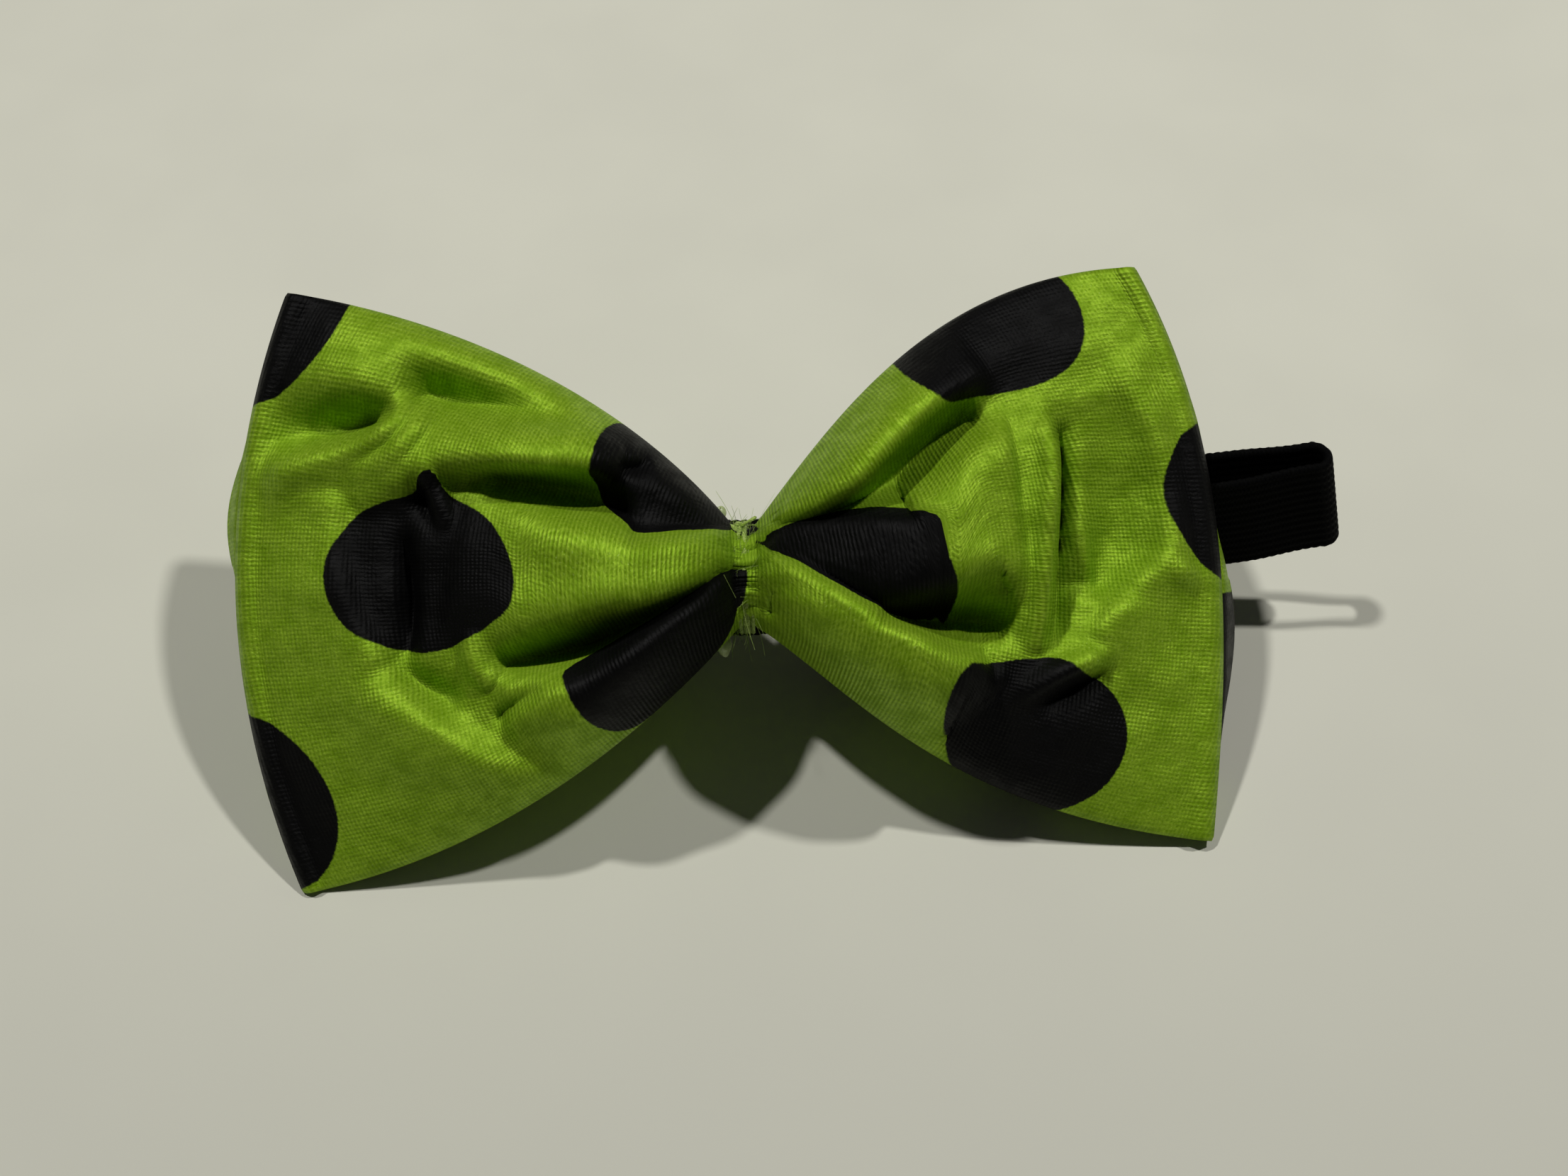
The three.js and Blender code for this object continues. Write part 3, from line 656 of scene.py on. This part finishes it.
def make_cloth(grid, material):
    x, h, n, a, b = grid
    rows, columns = x.shape
    points = from_bow(x, h, n)
    points[..., 2] = np.maximum(points[..., 2], TABLE_CLEAR * MM)
    cloth = add_mesh("bow_cloth", points, grid_faces(rows, columns, True), material)
    uv = np.stack([a.ravel(), b.ravel()], axis=1)
    corner_uv(cloth, "cloth", uv * MM)
    point_value(cloth, "dot", dot_distance(x, h, n, a, b))
    squeeze = np.clip(np.ptp(h[:, : STEPS_FRONT + 1], axis=1)[:, None] / (2 * HALF_TUBE), 0, 1) + 0 * a
    point_value(cloth, "squeeze", squeeze)
    wall = cloth.modifiers.new("thickness", "SOLIDIFY")
    wall.thickness = CLOTH * MM
    wall.offset = -1
    return cloth


# ---------- thread, knot and glue ----------
def frames_of(path):
    """Two directions across a path at each point, turning as little as they can."""
    tangent = np.gradient(path, axis=0)
    tangent /= np.linalg.norm(tangent, axis=1)[:, None]
    start = np.cross(tangent[0], (0.3, 0.5, 0.8))
    across = [start / np.linalg.norm(start)]
    for t in tangent[1:]:
        nearby = across[-1] - t * np.dot(across[-1], t)
        across.append(nearby / np.linalg.norm(nearby))
    across = np.array(across)
    return across, np.cross(tangent, across)


def tube_parts(path, radius, sides, first=0):
    """Points and faces of a closed tube; radius may be one number or one for each point of the path."""
    path = np.asarray(path, dtype=float)
    a, b = frames_of(path)
    turn = 2 * math.pi * np.arange(sides) / sides
    size = np.broadcast_to(radius, len(path))[:, None, None]
    ring = np.cos(turn)[None, :, None] * a[:, None, :] + np.sin(turn)[None, :, None] * b[:, None, :]
    points = (path[:, None, :] + ring * size).reshape(-1, 3)
    return points, capped_faces(len(path), sides, first, inward=True)


def add_tubes(name, tubes, sides, material):
    """One mesh from several (path in metres, radius in metres)."""
    points, faces, count = [], [], 0
    for path, radius in tubes:
        more, around = tube_parts(path, radius, sides, count)
        points.append(more)
        faces += around
        count += len(more)
    return add_mesh(name, np.vstack(points), faces, material)


def yarn(path, radius, turns):
    """The plies of a twisted thread round one path."""
    a, b = frames_of(path)
    turn = np.linspace(0, 2 * math.pi * turns, len(path))
    plies = []
    for ply in range(PLIES):
        phase = turn + 2 * math.pi * ply / PLIES
        off = np.cos(phase)[:, None] * a + np.sin(phase)[:, None] * b
        plies.append((path + off * radius * PLY_OFFSET, radius * PLY_SIZE))
    return plies


def binding_place(angle, x, lift=0.0):
    """A point of the thread's way round the pinch and over the elastic's edges behind it."""
    forward = np.cos(angle)
    rise = np.sin(angle)
    height = BIND_HALF * np.sign(rise) * np.abs(rise) ** BIND_POWERS["front"]
    front = np.stack([height, BIND_FRONT * forward], axis=-1)
    half = BIND_HALF + (BIND_BACK_HALF - BIND_HALF) * np.abs(forward) ** BIND_POWERS["widening"]
    height = half * np.sign(rise) * np.abs(rise) ** BIND_POWERS["back"]
    back = np.stack([height, -BIND_BACK * np.abs(forward) ** BIND_POWERS["depth"]], axis=-1)
    place = np.where((forward > 0)[..., None], front, back)
    away = place / np.maximum(np.linalg.norm(place, axis=-1), 1e-6)[..., None]
    place = place + away * lift
    return from_bow(x + 0 * angle, place[..., 0], place[..., 1])


def lint_fibre(pick):
    """One curled fibre that stands out of the binding."""
    at = pick.uniform(-1.9, 1.9)
    across = BIND_AT + pick.normal(0, 0.75)
    length = pick.uniform(0.8, 3.2)
    lean = pick.normal(0, 1.0, 3)
    steps = np.linspace(0, 1, 7)[:, None]
    start = binding_place(np.array(at), across, -0.1) / MM
    outward = binding_place(np.array(at), across, 1.0) / MM - start
    outward /= np.linalg.norm(outward)
    way = outward * pick.uniform(0.15, 0.8) + 0.7 * lean
    curl = pick.normal(0, 0.6, 3)
    path = start + length * (way * steps + curl * steps**2) / np.linalg.norm(way)
    return path * MM, pick.uniform(*LINT_THICK) * MM * (1 - 0.6 * steps[:, 0])


def make_binding(material):
    """The turns of gathering thread and the lint that stands out of them."""
    pick = np.random.default_rng(11)
    angle = np.linspace(0, 2 * math.pi * BIND_TURNS, BIND_STEPS * BIND_TURNS)
    turn = angle / (2 * math.pi)
    x = (turn / BIND_TURNS - 0.5) * BIND_WIDTH + BIND_WANDER * np.sin(angle * 0.5 + 1) + BIND_AT
    lift = BIND_LIFT * np.sin(3.3 * angle) ** 2
    tubes = yarn(binding_place(angle, x, lift[:, None]), BIND_RADIUS * MM, BIND_TWISTS * BIND_TURNS)
    tubes += [lint_fibre(pick) for _ in range(LINT_COUNT)]
    return add_tubes("gather_thread_wraps", tubes, 5, material)


def make_knot(material):
    """A trefoil of thread with its two cut tails."""
    turn = np.linspace(0, 2 * math.pi, 90)
    wide, high = np.sin(turn) + 2 * np.sin(2 * turn), np.cos(turn) - 2 * np.cos(2 * turn)
    trefoil = np.stack([wide, high, -np.sin(3 * turn)])
    beside, off = KNOT_PLACE
    centre = np.array(binding_place(np.array(KNOT_ANGLE), BIND_AT + beside, off))
    tubes = yarn(centre + trefoil.T * KNOT_SIZE * MM, BIND_RADIUS * MM, 8)
    for side in (-1, 1):
        steps = np.linspace(0, 1, 12)[:, None]
        away, bend = np.array([side * 1.6, 0.6, 1.0]), np.array([side * 0.5, 0.9, -0.9])
        tail = centre / MM + away * steps + bend * steps**2
        tubes += yarn(tail * MM, 0.8 * BIND_RADIUS * MM, 3)
    return add_tubes("gather_thread_knot", tubes, 6, material)


def make_glue(node, name, seed, material):
    """A lumpy bead of hot glue that fills a CAD bead's box."""
    low, high = (np.array(corner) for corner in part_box(node))
    rows, columns = GLUE_GRID
    polar = np.pi * (np.arange(rows) + 0.5)[:, None] / rows
    round_ = 2 * np.pi * np.arange(columns)[None, :] / columns
    ball = np.stack(np.broadcast_arrays(
        np.sin(polar) * np.cos(round_), np.sin(polar) * np.sin(round_), np.cos(polar)), axis=-1)
    x, y, z = ball[..., 0], ball[..., 1], ball[..., 2]
    lumps = 1 + GLUE_LUMPS * waves(x + z, y - z, 6, 0.8, 2.4, seed)
    points = (low + high) / 2 + ball * lumps[..., None] * (high - low) / 2
    return add_mesh(name, points, capped_faces(rows, columns), material)


# ---------- sewing ----------
def stitched(path, out, pitch, depth):
    """A running stitch along a path of points: it rises out of the cloth and dives back every pitch."""
    run = np.concatenate([[0], np.cumsum(np.linalg.norm(np.diff(path, axis=0), axis=1))])
    at = np.arange(0, run[-1], pitch / STITCH_STEPS)
    line = np.stack([np.interp(at, run, path[:, axis]) for axis in range(3)], axis=1)
    away = np.stack([np.interp(at, run, out[:, axis]) for axis in range(3)], axis=1)
    wave = np.sin(2 * math.pi * at / pitch)
    return line + away * (depth * (np.abs(wave) ** 0.7 * np.sign(wave)))[:, None]


def make_end_seam(name, grid, row, side, material):
    """The running stitch that closes one end of the tube."""
    x, h, n = (part[row, : STEPS_FRONT + 1] for part in grid[:3])
    path = from_bow(x + side * 0.05, h, n - CLOTH / 2)
    out = np.array(from_bow(side * 1.0, 0.0, 0.25)) - np.array(from_bow(0.0, 0.0, 0.0))
    out = np.broadcast_to(out / np.linalg.norm(out), path.shape)
    line = stitched(path, out, SEAM_STITCH * MM, SEAM_RISE * MM)
    line[:, 2] = np.maximum(line[:, 2], SEAM_RISE * MM)
    return add_tubes(name, [(line, SEAM_THREAD * MM)], 6, material)


def make_back_seam(grid, material):
    """The tube's own seam, a sewn ridge along the back from end to end."""
    x, h, n, a, b = grid
    behind = STEPS_FRONT + 1
    column = behind + int(np.argmin(np.abs(b[0, behind:] - HALF_TUBE * (2 - BACK_SEAM_AT))))
    keep = slice(6, -6)
    here = from_bow(x[keep, column], h[keep, column], n[keep, column])
    beside = from_bow(x[keep, column + 1], h[keep, column + 1], n[keep, column + 1])
    way = np.gradient(here, axis=0)
    out = np.cross(way, beside - here)
    out /= np.linalg.norm(out, axis=1)[:, None]
    toward = from_bow(0.0, 0.0, -1.0) - from_bow(0.0, 0.0, 0.0)
    out *= np.sign(out @ toward)[:, None]
    across = np.cross(out, way / np.linalg.norm(way, axis=1)[:, None])
    flutter = RIDGE_FLUTTER[0] * np.sin(np.arange(len(here)) * RIDGE_FLUTTER[1])
    rings = [
        here + across * ((p + flutter * (q > 0)) * MM)[:, None] + out * q * MM
        for p, q in RIDGE_PROFILE
    ]
    points = np.stack(rings, axis=1)
    points[..., 2] = np.maximum(points[..., 2], 0.02 * MM)
    count = len(RIDGE_PROFILE)
    ridge = add_mesh("back_seam_ridge", points, capped_faces(len(here), count), material)
    spots = np.stack([np.repeat(a[keep, column], count), np.tile(RIDGE_LANES, len(here))], axis=1)
    corner_uv(ridge, "cloth", spots * MM)
    point_value(ridge, "dot", np.repeat(dot_distance(*(part[keep, column] for part in grid)), count))
    point_value(ridge, "squeeze", np.ones(len(here) * count))
    return ridge


# ---------- the elastic ----------
def loop_heading(x):
    rise = along(LOOP_LINE, x + 0.5) - along(LOOP_LINE, x - 0.5)
    length = math.hypot(1, rise)
    return np.array([1 / length, rise / length, 0.0])


def band_stop(x, offset, way):
    """Middle, up and out of the band at x on the loop, offset behind the loop's middle line."""
    heading = loop_heading(x)
    angle = float(across_angle(x))
    droop = LOOP_DROOP * float(smooth(BAND_SPLIT, LOOP_END, x))
    up = np.array([-droop, math.cos(angle), math.sin(angle)])
    out = np.cross(heading, up) * way
    away = np.array([-heading[1], heading[0], 0])
    height = ELASTIC_HEIGHT + float(along(LOOP_RISE, x))
    middle = np.array([x, float(along(LOOP_LINE, x)), height]) + away * offset
    return middle, up, out / np.linalg.norm(out)


def run_stops(first, last, side, way):
    """The band's stops from x first to x last; side is -1 on the near run and 1 on the far one."""
    count = int(abs(last - first) / STOP_STEP)
    stops = []
    for x in np.linspace(first, last, count):
        spread = max(float(along(LOOP_SPREAD, x)), ELASTIC_THICKNESS + 0.1)
        stops.append(band_stop(x, side * spread / 2, way))
    return stops


def turn_stops():
    """The band's stops round the end of the loop, from the near run to the far one."""
    radius = LOOP_SPREAD[-1][1] / 2
    x = LOOP_END - radius
    centre, up, _ = band_stop(x, 0, 1)
    heading = loop_heading(x)
    away = np.array([-heading[1], heading[0], 0])
    stops = []
    for angle in np.linspace(-math.pi / 2, math.pi / 2, 22):
        radial = heading * math.cos(angle) + away * math.sin(angle)
        tangent = away * math.cos(angle) - heading * math.sin(angle)
        out = np.cross(tangent, up)
        stops.append((centre + radial * radius, up, out / np.linalg.norm(out)))
    return stops


def band_ring(stop, place):
    """One ribbed section of the band; place is how far along it is, for the serrated edges."""
    middle, up, out = stop
    depth, pitch = TOOTH
    half = ELASTIC_WIDTH / 2 - BAND_INSET + depth * abs(math.sin(math.pi * place / pitch))
    across = np.linspace(-half, half, 61)
    ribs = RIB_RISE * np.cos(2 * math.pi * across / RIB_PITCH)
    width, least = EDGE_THINNING
    edge = np.clip((half - np.abs(across)) / width, 0, 1) ** 0.5
    thick = (ELASTIC_THICKNESS / 2 - BAND_SKIN + ribs) * (least + (1 - least) * edge)
    face = middle + across[:, None] * up + thick[:, None] * out
    back = middle + across[::-1, None] * up - thick[::-1, None] * out
    return np.vstack([face, back])


def band_parts(stops, first):
    """Points and faces of one closed length of band, and its own coordinates in mm."""
    middles = np.array([stop[0] for stop in stops])
    run = np.concatenate([[0], np.cumsum(np.linalg.norm(np.diff(middles, axis=0), axis=1))])
    rings = [band_ring(stop, place) for stop, place in zip(stops, run)]
    count = len(rings[0])
    faces = capped_faces(len(rings), count, first)
    face = np.linspace(0, ELASTIC_WIDTH, count // 2)
    back = np.linspace(ELASTIC_WIDTH, 0, count // 2)
    lanes = np.concatenate([face, back])
    spots = np.stack([np.repeat(run, count), np.tile(lanes, len(rings))], axis=1)
    return np.vstack(rings), faces, spots


def make_band(name, lengths, material):
    points, faces, spots, first = [], [], [], 0
    for stops in lengths:
        more, around, places = band_parts(stops, first)
        points.append(more)
        faces += around
        spots.append(places)
        first += len(more)
    band = add_mesh(name, from_table(np.vstack(points)), faces, material)
    corner_uv(band, "cloth", np.vstack(spots) * MM)
    return band


def make_join_stitches(material):
    """A zigzag of black thread through the elastic's two ends, on the side away from the bow."""
    points = []
    for i in range(JOIN_STITCHES + 1):
        x = JOIN_AT + (1 if i % 2 else -1) * JOIN_HALF_WIDTH
        middle, up, out = band_stop(x, 0, 1)
        for dive in JOIN_DIVES:
            at = (i / JOIN_STITCHES - 0.5) * JOIN_LENGTH
            points.append(middle + up * at - out * (ELASTIC_DOUBLE / 2 + dive))
    path = from_table(catmull(points, 4))
    return add_tubes("elastic_join_zigzag", yarn(path, JOIN_THREAD * MM, 60), 5, material)


# ---------- materials ----------
def new_material(name):
    """A principled material, and the graph that fills it in."""
    material = bpy.data.materials.new(name)
    material.use_nodes = True
    nodes = material.node_tree.nodes
    nodes.clear()
    output = nodes.new("ShaderNodeOutputMaterial")
    shader = nodes.new("ShaderNodeBsdfPrincipled")
    material.node_tree.links.new(shader.outputs[0], output.inputs[0])
    return material, Graph(material, shader)


class Graph:
    """Short calls for making and joining nodes."""

    def __init__(self, material, shader):
        self.nodes = material.node_tree.nodes
        self.links = material.node_tree.links
        self.inputs = shader.inputs

    def put(self, socket, value):
        if hasattr(value, "is_linked"):
            self.links.new(value, socket)
        else:
            socket.default_value = value

    def set(self, name, value):
        self.put(self.inputs[name], value)

    def math(self, operation, a, b=0.0, c=0.0):
        node = self.nodes.new("ShaderNodeMath")
        node.operation = operation
        for socket, value in zip(node.inputs, (a, b, c)):
            self.put(socket, value)
        return node.outputs[0]

    def plus(self, a, b):
        return self.math("ADD", a, b)

    def times(self, a, b):
        return self.math("MULTIPLY", a, b)

    def ramp(self, value, low, high, to_low=0.0, to_high=1.0):
        node = self.nodes.new("ShaderNodeMapRange")
        node.interpolation_type = "SMOOTHSTEP"
        for socket, given in zip(node.inputs, (value, low, high, to_low, to_high)):
            self.put(socket, given)
        return node.outputs[0]

    def mix(self, share, a, b, blend="MIX"):
        node = self.nodes.new("ShaderNodeMix")
        node.data_type = "RGBA"
        node.blend_type = blend
        self.put(node.inputs[0], share)
        self.put(node.inputs[6], a)
        self.put(node.inputs[7], b)
        return node.outputs[2]

    def noise(self, vector, scale, detail=2.0, rough=0.5):
        node = self.nodes.new("ShaderNodeTexNoise")
        node.inputs["Scale"].default_value = scale
        node.inputs["Detail"].default_value = detail
        node.inputs["Roughness"].default_value = rough
        self.links.new(vector, node.inputs["Vector"])
        return node.outputs[0]

    def attribute(self, name):
        node = self.nodes.new("ShaderNodeAttribute")
        node.attribute_name = name
        return node

    def uv(self, name):
        node = self.nodes.new("ShaderNodeUVMap")
        node.uv_map = name
        return node.outputs[0]

    def split(self, vector):
        node = self.nodes.new("ShaderNodeSeparateXYZ")
        self.links.new(vector, node.inputs[0])
        return node.outputs

    def object_place(self):
        return self.nodes.new("ShaderNodeTexCoord").outputs["Object"]

    def bump(self, height, distance, strength=1.0):
        node = self.nodes.new("ShaderNodeBump")
        node.inputs["Distance"].default_value = distance
        node.inputs["Strength"].default_value = strength
        self.links.new(height, node.inputs["Height"])
        return node.outputs[0]


KNIT_BRIGHT = (0.38, 0.59, 0.04, 1)
# KNIT_DEEP is the painted shade in the knit's rib valleys, and also the colour of its random darker blotches
KNIT_DEEP = (0.14, 0.27, 0.001, 1)
# painted glints: a pale colour for specks that stand in for light caught by the knit's fuzzy loops
KNIT_PAINTED_GLINT = (0.62, 0.82, 0.2, 1)
PRINT_BLACK = (0.0012, 0.0012, 0.0012, 1)
PRINT_LINT = (0.007, 0.007, 0.0065, 1)
KNIT_SATIN = 0.36  # the share of light that the smooth polyester face sends back as tinted gloss
WALE = 0.44 * MM
COURSE = 0.5 * MM
GLUE_DARK = (0.36, 0.42, 0.2, 1)
GLUE_PALE = (0.5, 0.56, 0.33, 1)
ELASTIC_BLACK = (0.001, 0.001, 0.001, 1)
ELASTIC_LINT = (0.004, 0.004, 0.004, 1)
PICK = 0.48 * MM
TABLE_DARK = (0.70, 0.70, 0.60, 1)
TABLE_PALE = (0.73, 0.73, 0.625, 1)
TABLE_PAINTED_SHADE = (0.58, 0.58, 0.505, 1)  # painted shade: the table is painted a little darker towards the viewer, standing in for the light's fall-off there


def knit_material():
    material, g = new_material("printed_knit")
    cloth = g.uv("cloth")
    a, b, _ = g.split(cloth)
    wander = g.noise(cloth, 120, 2)
    a_bent = g.plus(a, g.times(g.math("SUBTRACT", wander, 0.5), 0.5 * MM))
    b_bent = g.plus(b, g.times(g.math("SUBTRACT", wander, 0.5), 0.7 * MM))
    wale = g.math("SINE", g.times(a_bent, 2 * math.pi / WALE))
    course = g.math("SINE", g.times(b_bent, 2 * math.pi / COURSE))
    squeeze = g.attribute("squeeze").outputs["Fac"]
    course_share = g.ramp(squeeze, 0.3, 0.85)
    wale_share = g.ramp(squeeze, 0.95, 0.4, 0.55, 1.0)
    patches = g.ramp(g.noise(cloth, 90, 2), 0.35, 0.65, 0.5, 1.0)
    fuzz = g.noise(cloth, 3200, 3, 0.7)
    rows = g.times(course, g.times(course_share, 0.5))
    weave = g.plus(g.times(wale, wale_share), rows)
    weave = g.times(weave, patches)
    crush = g.noise(cloth, 700, 3, 0.55)
    height = g.plus(g.times(weave, 0.55), g.times(fuzz, 1.3))
    height = g.plus(height, g.times(crush, 3.0))
    # painted shade and light: the knit's rib valleys are coloured darker green and its crests brighter, with
    # random tone from the fuzz on top
    rib_shade_and_fuzz = g.plus(g.ramp(weave, -1.2, 1.2, 0, 0.55), g.ramp(fuzz, 0.35, 0.65, 0, 0.45))
    green = g.mix(rib_shade_and_fuzz, KNIT_DEEP, KNIT_BRIGHT)
    blotch = g.ramp(g.noise(cloth, 420, 3, 0.6), 0.35, 0.7)
    green = g.mix(g.times(blotch, 0.55), green, KNIT_DEEP)
    # painted glints: pale specks scattered over the green, standing in for light caught by the fuzzy loops
    painted_glint = g.ramp(g.noise(cloth, 5200, 2, 0.6), 0.6, 0.78, 0, 0.5)
    green = g.mix(painted_glint, green, KNIT_PAINTED_GLINT)
    lint = g.ramp(g.noise(cloth, 4200, 3, 0.7), 0.56, 0.8, 0.1, 1.0)
    black = g.mix(lint, PRINT_BLACK, PRINT_LINT)
    ragged = g.times(g.math("SUBTRACT", g.noise(cloth, 2600, 2), 0.5), 0.3)
    edge = g.plus(g.attribute("dot").outputs["Fac"], ragged)
    printed = g.ramp(edge, 0.12, -0.12)
    g.set("Base Color", g.mix(printed, green, black))
    g.set("Metallic", g.times(g.math("SUBTRACT", 1.0, printed), KNIT_SATIN))
    g.set("Roughness", g.ramp(blotch, 0.0, 1.0, 0.5, 0.62))
    g.set("Specular IOR Level", 0.1)
    g.set("Normal", g.bump(height, 0.07 * MM, 0.8))
    return material


def thread_material(name, tint, lint, scale):
    material, g = new_material(name)
    place = g.object_place()
    fibre = g.noise(place, scale, 4, 0.7)
    g.set("Base Color", g.mix(g.ramp(fibre, 0.35, 0.7), tint, lint))
    g.set("Roughness", 0.7)
    g.set("Specular IOR Level", 0.25)
    g.set("Sheen Weight", 0.2)
    g.set("Normal", g.bump(fibre, 0.04 * MM, 0.8))
    return material


def glue_material():
    material, g = new_material("hot_glue")
    cloud = g.noise(g.object_place(), 900, 3, 0.6)
    g.set("Base Color", g.mix(g.ramp(cloud, 0.3, 0.7), GLUE_DARK, GLUE_PALE))
    g.set("Roughness", 0.22)
    g.set("Subsurface Weight", 0.35)
    g.set("Subsurface Radius", (0.8, 1.0, 0.5))
    g.set("Subsurface Scale", 1 * MM)
    g.set("Normal", g.bump(cloud, 0.08 * MM, 0.5))
    return material


def elastic_material():
    """Black braided elastic: fine crosswise picks over the modelled ribs."""
    material, g = new_material("elastic")
    band = g.uv("cloth")
    run, lane, _ = g.split(band)
    row = g.math("FLOOR", g.math("DIVIDE", lane, RIB_PITCH * MM / 2))
    stagger = g.times(row, 0.24 * MM)
    picks = g.math("SINE", g.times(g.plus(run, stagger), 2 * math.pi / PICK))
    fuzz = g.noise(band, 3500, 3, 0.7)
    height = g.plus(g.times(picks, 0.5), fuzz)
    lint = g.ramp(fuzz, 0.5, 0.8)
    g.set("Base Color", g.mix(lint, ELASTIC_BLACK, ELASTIC_LINT))
    g.set("Roughness", 0.75)
    g.set("Specular IOR Level", 0.05)
    g.set("Normal", g.bump(height, 0.06 * MM, 0.9))
    return material


def floor_material():
    material, g = new_material("table")
    grain = g.noise(g.object_place(), 900, 4, 0.6)
    cloud = g.noise(g.object_place(), 30, 3, 0.5)
    pale = g.mix(g.ramp(cloud, 0.3, 0.7), TABLE_DARK, TABLE_PALE)
    _, y, _ = g.split(g.object_place())
    # painted shade: the table's colour darkens towards the viewer, in place of the light falling off
    painted_near_shade = g.ramp(y, 0.08, -0.12)
    g.set("Base Color", g.mix(painted_near_shade, pale, TABLE_PAINTED_SHADE))
    g.set("Roughness", 0.75)
    g.set("Specular IOR Level", 0.2)
    g.set("Normal", g.bump(grain, 0.05 * MM, 0.25))
    return material


# ---------- studio ----------
FLOOR_SIZE = 3.0
VIEW_ELEVATION = math.radians(52.5)
VIEW_ROLL = math.radians(2.5)
VIEW_DISTANCE = 0.236
VIEW_OFFSET = (4.07, -1.11)  # the picture's middle from the pinch, right and up, in mm
LENS = 50.0
LIGHTS = {"light_right": ((0.475, 0.13, 1.0), 1.0), "light_left": ((-0.33, 0.175, 1.0), 1.0)}
LIGHT_DISTANCE = 1.3
LIGHT_SIZE = 0.07
LIGHT_POWER = 7.0
AMBIENT = 0.03


def make_floor():
    half = FLOOR_SIZE / 2
    corners = [(-half, -half, 0), (half, -half, 0), (half, half, 0), (-half, half, 0)]
    floor = add_mesh("table_top", corners, [(0, 1, 2, 3)], floor_material())


def make_camera():
    pinch = Vector(from_bow(0.0, 0.0, 0.0))
    back = Vector((0, -math.cos(VIEW_ELEVATION), math.sin(VIEW_ELEVATION)))
    level = Vector((1, 0, 0))
    rise = back.cross(level)
    right = level * math.cos(VIEW_ROLL) - rise * math.sin(VIEW_ROLL)
    up = back.cross(right)
    camera = bpy.data.objects.new("camera", bpy.data.cameras.new("camera"))
    camera.data.lens = LENS
    camera.data.clip_start = 0.01
    target = pinch + right * VIEW_OFFSET[0] * MM + up * VIEW_OFFSET[1] * MM
    turn = Matrix((right, up, back)).transposed().to_4x4()
    camera.matrix_world = Matrix.Translation(target + back * VIEW_DISTANCE) @ turn
    bpy.context.scene.collection.objects.link(camera)
    bpy.context.scene.camera = camera


def make_lights():
    for name, (direction, share) in LIGHTS.items():
        away = Vector(direction).normalized()
        lamp = bpy.data.lights.new(name, "AREA")
        lamp.shape = "DISK"
        lamp.size = LIGHT_SIZE
        lamp.energy = LIGHT_POWER * share
        lamp.color = (1.0, 0.985, 0.96)
        light = bpy.data.objects.new(name, lamp)
        light.location = away * LIGHT_DISTANCE
        light.rotation_euler = away.to_track_quat("Z", "Y").to_euler()
        bpy.context.scene.collection.objects.link(light)
    world = bpy.data.worlds.new("studio")
    world.use_nodes = True
    background = world.node_tree.nodes["Background"]
    background.inputs[0].default_value = (1, 1, 0.98, 1)
    background.inputs[1].default_value = AMBIENT
    bpy.context.scene.world = world
    bpy.context.scene.view_settings.view_transform = "Standard"


# ---------- everything ----------
def settle(piece, body, slot, *nodes):
    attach(piece, body)
    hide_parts(*nodes)


def build():
    grid = cloth_grid()
    knit = knit_material()
    sewing = thread_material("sewing_thread", (0.16, 0.26, 0.02, 1), (0.3, 0.42, 0.08, 1), 4000)
    binding = thread_material("binding_thread", (0.2, 0.31, 0.03, 1), (0.46, 0.58, 0.16, 1), 3000)
    black = thread_material("black_thread", (0.006, 0.006, 0.006, 1), (0.02, 0.02, 0.02, 1), 4000)
    glue = glue_material()
    elastic = elastic_material()

    cloth = make_cloth(grid, knit)
    settle(cloth, "bow", "printed_knit", "bow_fabric")
    for end, row, side in (("left", 0, -1), ("right", -1, 1)):
        stitches = make_end_seam(f"{end}_seam_stitches", grid, row, side, sewing)
        settle(stitches, "bow", "sewing_thread", f"{end}_end_seam")
    settle(make_back_seam(grid, knit), "bow", "printed_knit", "back_seam")
    settle(make_binding(binding), "bow", "binding_thread", "gather_thread")
    settle(make_knot(binding), "bow", "binding_thread", "gather_knot")
    for end, seed in (("lower", 3), ("upper", 9)):
        node = f"glue_bead_{end}"
        settle(make_glue(node, f"glue_{end}", seed, glue), "bow", "hot_glue", node)
    settle(make_join_stitches(black), "bow", "black_thread", "elastic_join_stitches")

    inner = make_band(
        "elastic_inner",
        [run_stops(ANCHOR[0], BAND_SPLIT, -1, 1), run_stops(ANCHOR[0], BAND_SPLIT, 1, 1)],
        elastic,
    )
    turn_from = LOOP_END - LOOP_SPREAD[-1][1] / 2
    out_and_back = run_stops(BAND_SPLIT, turn_from, -1, 1) + turn_stops()[1:-1]
    outer = make_band("elastic_outer", [out_and_back + run_stops(turn_from, BAND_SPLIT, 1, -1)], elastic)
    ahead = loop_heading(HINGE[0])
    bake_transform(inner)
    reach = from_table([[x, along(LOOP_LINE, x), ELASTIC_HEIGHT] for x in STRETCHES])
    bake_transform(outer)
    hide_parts("elastic_anchor")
    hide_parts("elastic_near_run", "elastic_far_run", "elastic_tip")


make_floor()
make_camera()
make_lights()
build()
